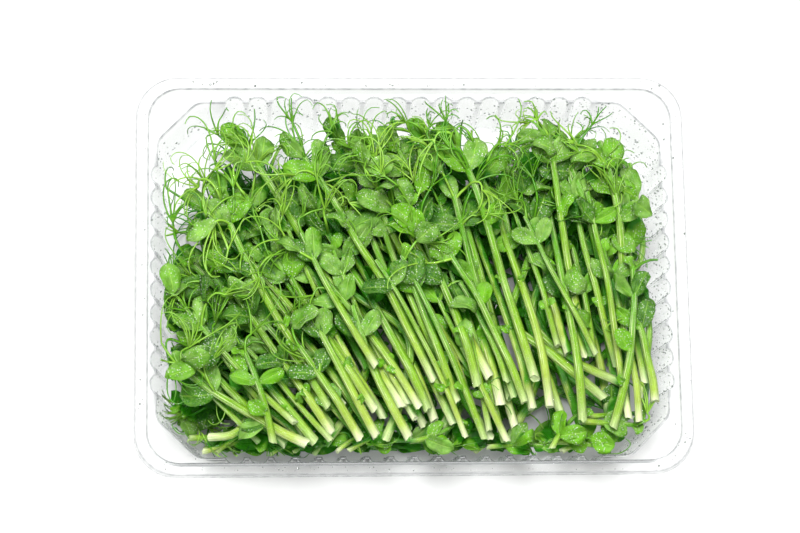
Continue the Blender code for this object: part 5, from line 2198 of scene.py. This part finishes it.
@dataclass
class ClearTray:
    """The fluted tray, as one thin formed sheet."""

    sheet: float = 0.00045
    lip_drop: float = 0.0025
    lip_flare: float = 0.0004
    flute_pitch: float = 0.008
    flute_chord: float = 0.0063
    flute_depth: float = 0.002
    foot_flute: float = 0.7
    flutes_long: int = 16
    flutes_short: int = 10
    arc_steps: int = 8
    cut_radius: float = 0.006
    cut_steps: int = 3
    corner_steps: int = 10
    foot_radius: float = 0.0022
    edge_radius: float = 0.0009
    # How dark the painted grey lines are where the sheet is bent, standing in for the dark lines that
    # refraction draws there.
    foot_line: float = 0.20
    brow_line: float = 0.66
    crease_line: float = 0.24
    ledge_line: float = 0.14
    step_line: float = 0.80
    outer_line: float = 0.60
    lip_line: float = 0.35
    sharp_angle: float = 40.0

    def build(self) -> Object:
        """Builds the tray.

        Returns:
            The piece.
        """
        shape = bmesh.new()
        low, rim = self.sheet / 2, TRAY.height - self.sheet / 2
        fluted = [self.wall_ring(z) for z in self.wall_heights(low)]
        # Each point notes how dark the painted line is where the sheet is bent there.
        self.bend = shape.verts.layers.float.new("bend")
        rings = [self.add_ring(shape, *ring) for ring in fluted]
        bmesh.ops.triangle_fill(shape, use_beauty=True, use_dissolve=False, edges=rings[0][1])
        self.bridge(shape, rings)
        plain = [self.add_ring(shape, *ring) for ring in self.plain_rings(rim)]
        bmesh.ops.triangle_fill(shape, use_beauty=True, use_dissolve=False, edges=rings[-1][1] + plain[0][1])
        self.bridge(shape, plain)
        bmesh.ops.recalc_face_normals(shape, faces=shape.faces)
        mesh = bpy.data.meshes.new("clear_tray_sheet")
        shape.to_mesh(mesh)
        shape.free()
        mesh.shade_smooth()
        guide = linked("clear_tray_sheet", mesh)
        wall = guide.modifiers.new("sheet", "SOLIDIFY")
        wall.thickness = self.sheet
        wall.offset = 0.0
        wall.use_even_offset = True
        tray = made_plain(guide, "clear_tray")
        tray.data.set_sharp_from_angle(angle=math.radians(self.sharp_angle))
        tray.data.materials.append(ClearFinish().make())
        finish_piece(tray, "clear_tray", "tray")
        return tray

    def wall_heights(self, low: float) -> list[float]:
        """Gives the heights of the wall's rings, closer together where the foot and the brow are rounded."""
        foot = [low + self.foot_radius * (1 - math.cos(a)) for a in np.linspace(0, math.pi / 2, 5)]
        brow = [TRAY.ledge_z - self.edge_radius * (1 - math.sin(a)) for a in np.linspace(0, math.pi / 2, 4)]
        return [*foot, *np.linspace(foot[-1], brow[0], 6)[1:-1], *brow]

    def wall_ring(self, z: float) -> Ring:
        """Lays the fluted ring of the wall at a height.

        Args:
            z: The height.

        Returns:
            The plan points, the height, and at each point how dark the painted line is where the sheet is
            bent.
        """
        rise = z / TRAY.ledge_z
        back = set_back(z - self.sheet / 2, self.foot_radius)
        over = set_back(TRAY.ledge_z - z, self.edge_radius)
        depth = self.flute_depth * (self.foot_flute + (1 - self.foot_flute) * rise)
        brow = self.brow_line if 0.0 < over < 0.5 * self.edge_radius else 0.0
        foot = self.foot_line if 0.0 < back < 0.2 * self.foot_radius else 0.0
        painted_bend_lines = [max(brow, foot, crease * self.crease_line * rise**2) for crease in self.creases()]
        return self.fluted_ring(TRAY.floor + TRAY.wall_lean * rise - back + over, depth), z, painted_bend_lines

    def creases(self) -> list[float]:
        """Marks the points of a fluted ring: 1 where a flute meets the flat beside it, and 0 elsewhere."""
        flute = [1.0, *[0.0] * (self.arc_steps - 1), 1.0]
        corner = [0.0] * (self.cut_steps + 1)
        sides = (self.flutes_short, self.flutes_long) * 2
        return [mark for count in sides for mark in (*corner, *flute * count, *corner)]

    def fluted_side(self, count: int, depth: float) -> Line:
        """Gives one side's flutes, as pairs of a place along it and a depth outward.

        Args:
            count: Number of flutes.
            depth: Depth of each.

        Returns:
            The pairs, from one end of the side to the other.
        """
        points = []
        half = self.flute_chord / 2
        for flute in range(count):
            middle = (flute - (count - 1) / 2) * self.flute_pitch
            for step in range(self.arc_steps + 1):
                t = 2 * step / self.arc_steps - 1
                points.append((middle + half * math.sin(t * math.pi / 2), depth * math.cos(t * math.pi / 2)))
        return points

    def corner_end(self, reach: float) -> Line:
        """Rounds a side into its cut corner, as pairs of a place along it and a depth outward."""
        r = self.cut_radius
        start = reach - r * math.tan(math.pi / 8)
        angles = np.linspace(0, math.pi / 4, self.cut_steps + 1)
        return [(start + r * math.sin(a), r * (math.cos(a) - 1)) for a in angles]

    def fluted_ring(self, half: Array, depth: float) -> Line:
        """Lays points round the cavity: a rectangle with cut corners, whose sides are fluted outward.

        Args:
            half: Half its length and half its width, between the flutes.
            depth: Depth of the flutes.

        Returns:
            The plan points.
        """
        ring = []
        for quarter in range(4):
            axis = quarter % 2
            count = (self.flutes_short, self.flutes_long)[axis]
            end = self.corner_end(half[1 - axis] - TRAY.chamfer)
            places = [*((-place, out) for place, out in reversed(end)), *self.fluted_side(count, depth), *end]
            turn = quarter * math.pi / 2
            ring += [tuple(turned(np.array([half[axis] + out, place]), turn)) for place, out in places]
        return ring

    def plain_rings(self, rim: float) -> list[Ring]:
        """Lays the rings of the stacking step, the flange and its lip.

        Args:
            rim: Height of the flange's middle surface.

        Returns:
            Each ring's plan points, its height, and at each point how dark the painted line is where the
            sheet is bent.
        """
        step, outer, r = TRAY.cavity + TRAY.ledge, TRAY.outer - self.sheet / 2, self.edge_radius
        arcs = [(math.sin(a), math.cos(a)) for a in np.linspace(0, math.pi / 2, 4)]
        rings = [(step + r * (s - 1), TRAY.step_corner, TRAY.ledge_z + r * (1 - c)) for s, c in arcs]
        rings += [(step + r * (1 - c), TRAY.step_corner, rim - r * (1 - s)) for s, c in arcs]
        edge = outer - self.lip_flare
        rings += [(edge + r * (s - 1), TRAY.flange_corner, rim - r * (1 - c)) for s, c in arcs]
        rings.append((outer, TRAY.flange_corner, rim - self.lip_drop))
        lines = {1: self.ledge_line, 5: self.step_line, 10: self.outer_line, 12: self.lip_line}
        made = []
        for index, (half, radius, z) in enumerate(rings):
            ring = rounded_ring(half, radius, self.corner_steps)
            made.append((ring, z, [lines.get(index, 0.0)] * len(ring)))
        return made

    def add_ring(self, shape: BMesh, ring: Line, z: float, painted_bend_lines: list[float]) -> tuple[list, list]:
        """Adds a closed ring of points and edges at one height.

        Args:
            shape: What to add it to.
            ring: The ring's plan points.
            z: Its height.
            painted_bend_lines: At each of its points, how dark the painted line is where the sheet is bent.

        Returns:
            The ring's points and its edges.
        """
        verts = [shape.verts.new((x, y, z)) for x, y in ring]
        for vert, bend in zip(verts, painted_bend_lines):
            vert[self.bend] = bend
        edges = [shape.edges.new((a, b)) for a, b in zip(verts, verts[1:] + verts[:1])]
        return verts, edges

    def bridge(self, shape: BMesh, rings: list[tuple[list, list]]) -> None:
        """Joins each ring to the next with faces."""
        for (inner, _), (outer, _) in zip(rings, rings[1:]):
            for j in range(len(inner)):
                k = (j + 1) % len(inner)
                shape.faces.new((inner[j], inner[k], outer[k], outer[j]))


@dataclass
class Studio:
    """The plain floor, the soft light and the camera at the photograph's angle.

    A lamp has its name, its place, the width of its disk and its power.
    """

    floor_side: float = 4.0
    floor_drop: float = 0.0002
    elevation: float = 77.6
    yaw: float = -15.66
    roll: float = 15.12
    lens: float = 113.85
    sensor: float = 36.0
    aim: tuple[float, float] = (-0.0045, 0.0020)
    distance: float = 0.850
    clip: Range = (0.01, 20.0)
    clear_bounces: int = 24
    sky: float = 0.28
    lamps: tuple[tuple[str, tuple[float, float, float], float, float], ...] = (
        ("key", (-0.12, 0.30, 1.40), 0.72, 36.0),
        ("fill", (0.20, -0.50, 1.25), 1.0, 7.0),
    )

    def build(self) -> None:
        """Builds the floor, the lights, the world and the camera."""
        self.build_floor()
        self.build_world()
        self.build_lights()
        self.build_camera()
        settings = bpy.context.scene.view_settings
        settings.view_transform = "Standard"
        settings.look = "None"
        bpy.context.scene.cycles.transparent_max_bounces = self.clear_bounces

    def build_floor(self) -> None:
        """Builds the floor under the tray."""
        bpy.ops.mesh.primitive_plane_add(size=self.floor_side, location=(0.0, 0.0, -self.floor_drop))
        floor = bpy.context.object
        floor.name = "studio_floor"
        floor.data.materials.append(FloorFinish().make())

    def build_world(self) -> None:
        """Lights everything evenly from all round."""
        world = bpy.data.worlds.new("studio")
        world.use_nodes = True
        background = world.node_tree.nodes["Background"]
        background.inputs["Color"].default_value = (1.0, 1.0, 1.0, 1.0)
        background.inputs["Strength"].default_value = self.sky
        bpy.context.scene.world = world

    def build_lights(self) -> None:
        """Hangs the soft lamps, each turned to the tray."""
        for name, place, size, power in self.lamps:
            data = bpy.data.lights.new(name, "AREA")
            data.shape, data.size, data.energy = "DISK", size, power
            lamp = linked(name, data)
            lamp.location = place
            lamp.rotation_euler = (-Vector(place)).to_track_quat("-Z", "Y").to_euler()

    def build_camera(self) -> None:
        """Sets the camera where the photograph was taken from."""
        e, yaw, roll = (math.radians(angle) for angle in (self.elevation, self.yaw, self.roll))
        back = Vector((math.sin(yaw) * math.cos(e), -math.cos(yaw) * math.cos(e), math.sin(e)))
        up = Vector((-math.sin(yaw) * math.sin(e), math.cos(yaw) * math.sin(e), math.cos(e)))
        right = up.cross(back)
        camera_right = math.cos(roll) * right + math.sin(roll) * up
        camera_up = -math.sin(roll) * right + math.cos(roll) * up
        place = Vector((*self.aim, TRAY.height)) + self.distance * back
        data = bpy.data.cameras.new("camera")
        data.lens, data.sensor_width = self.lens, self.sensor
        data.clip_start, data.clip_end = self.clip
        camera = linked("camera", data)
        turn = Matrix((camera_right, camera_up, back)).transposed()
        camera.matrix_world = Matrix.Translation(place) @ turn.to_4x4()
        bpy.context.scene.camera = camera


def main() -> None:
    """Builds the studio, the tray and the greens."""
    logging.basicConfig(level=logging.INFO, format="%(message)s")
    Studio().build()
    tray = ClearTray().build()
    greens = Greens()
    pieces = greens.build()
    Dew().build(pieces, greens.cover, tray)


if __name__ == "__main__":
    main()
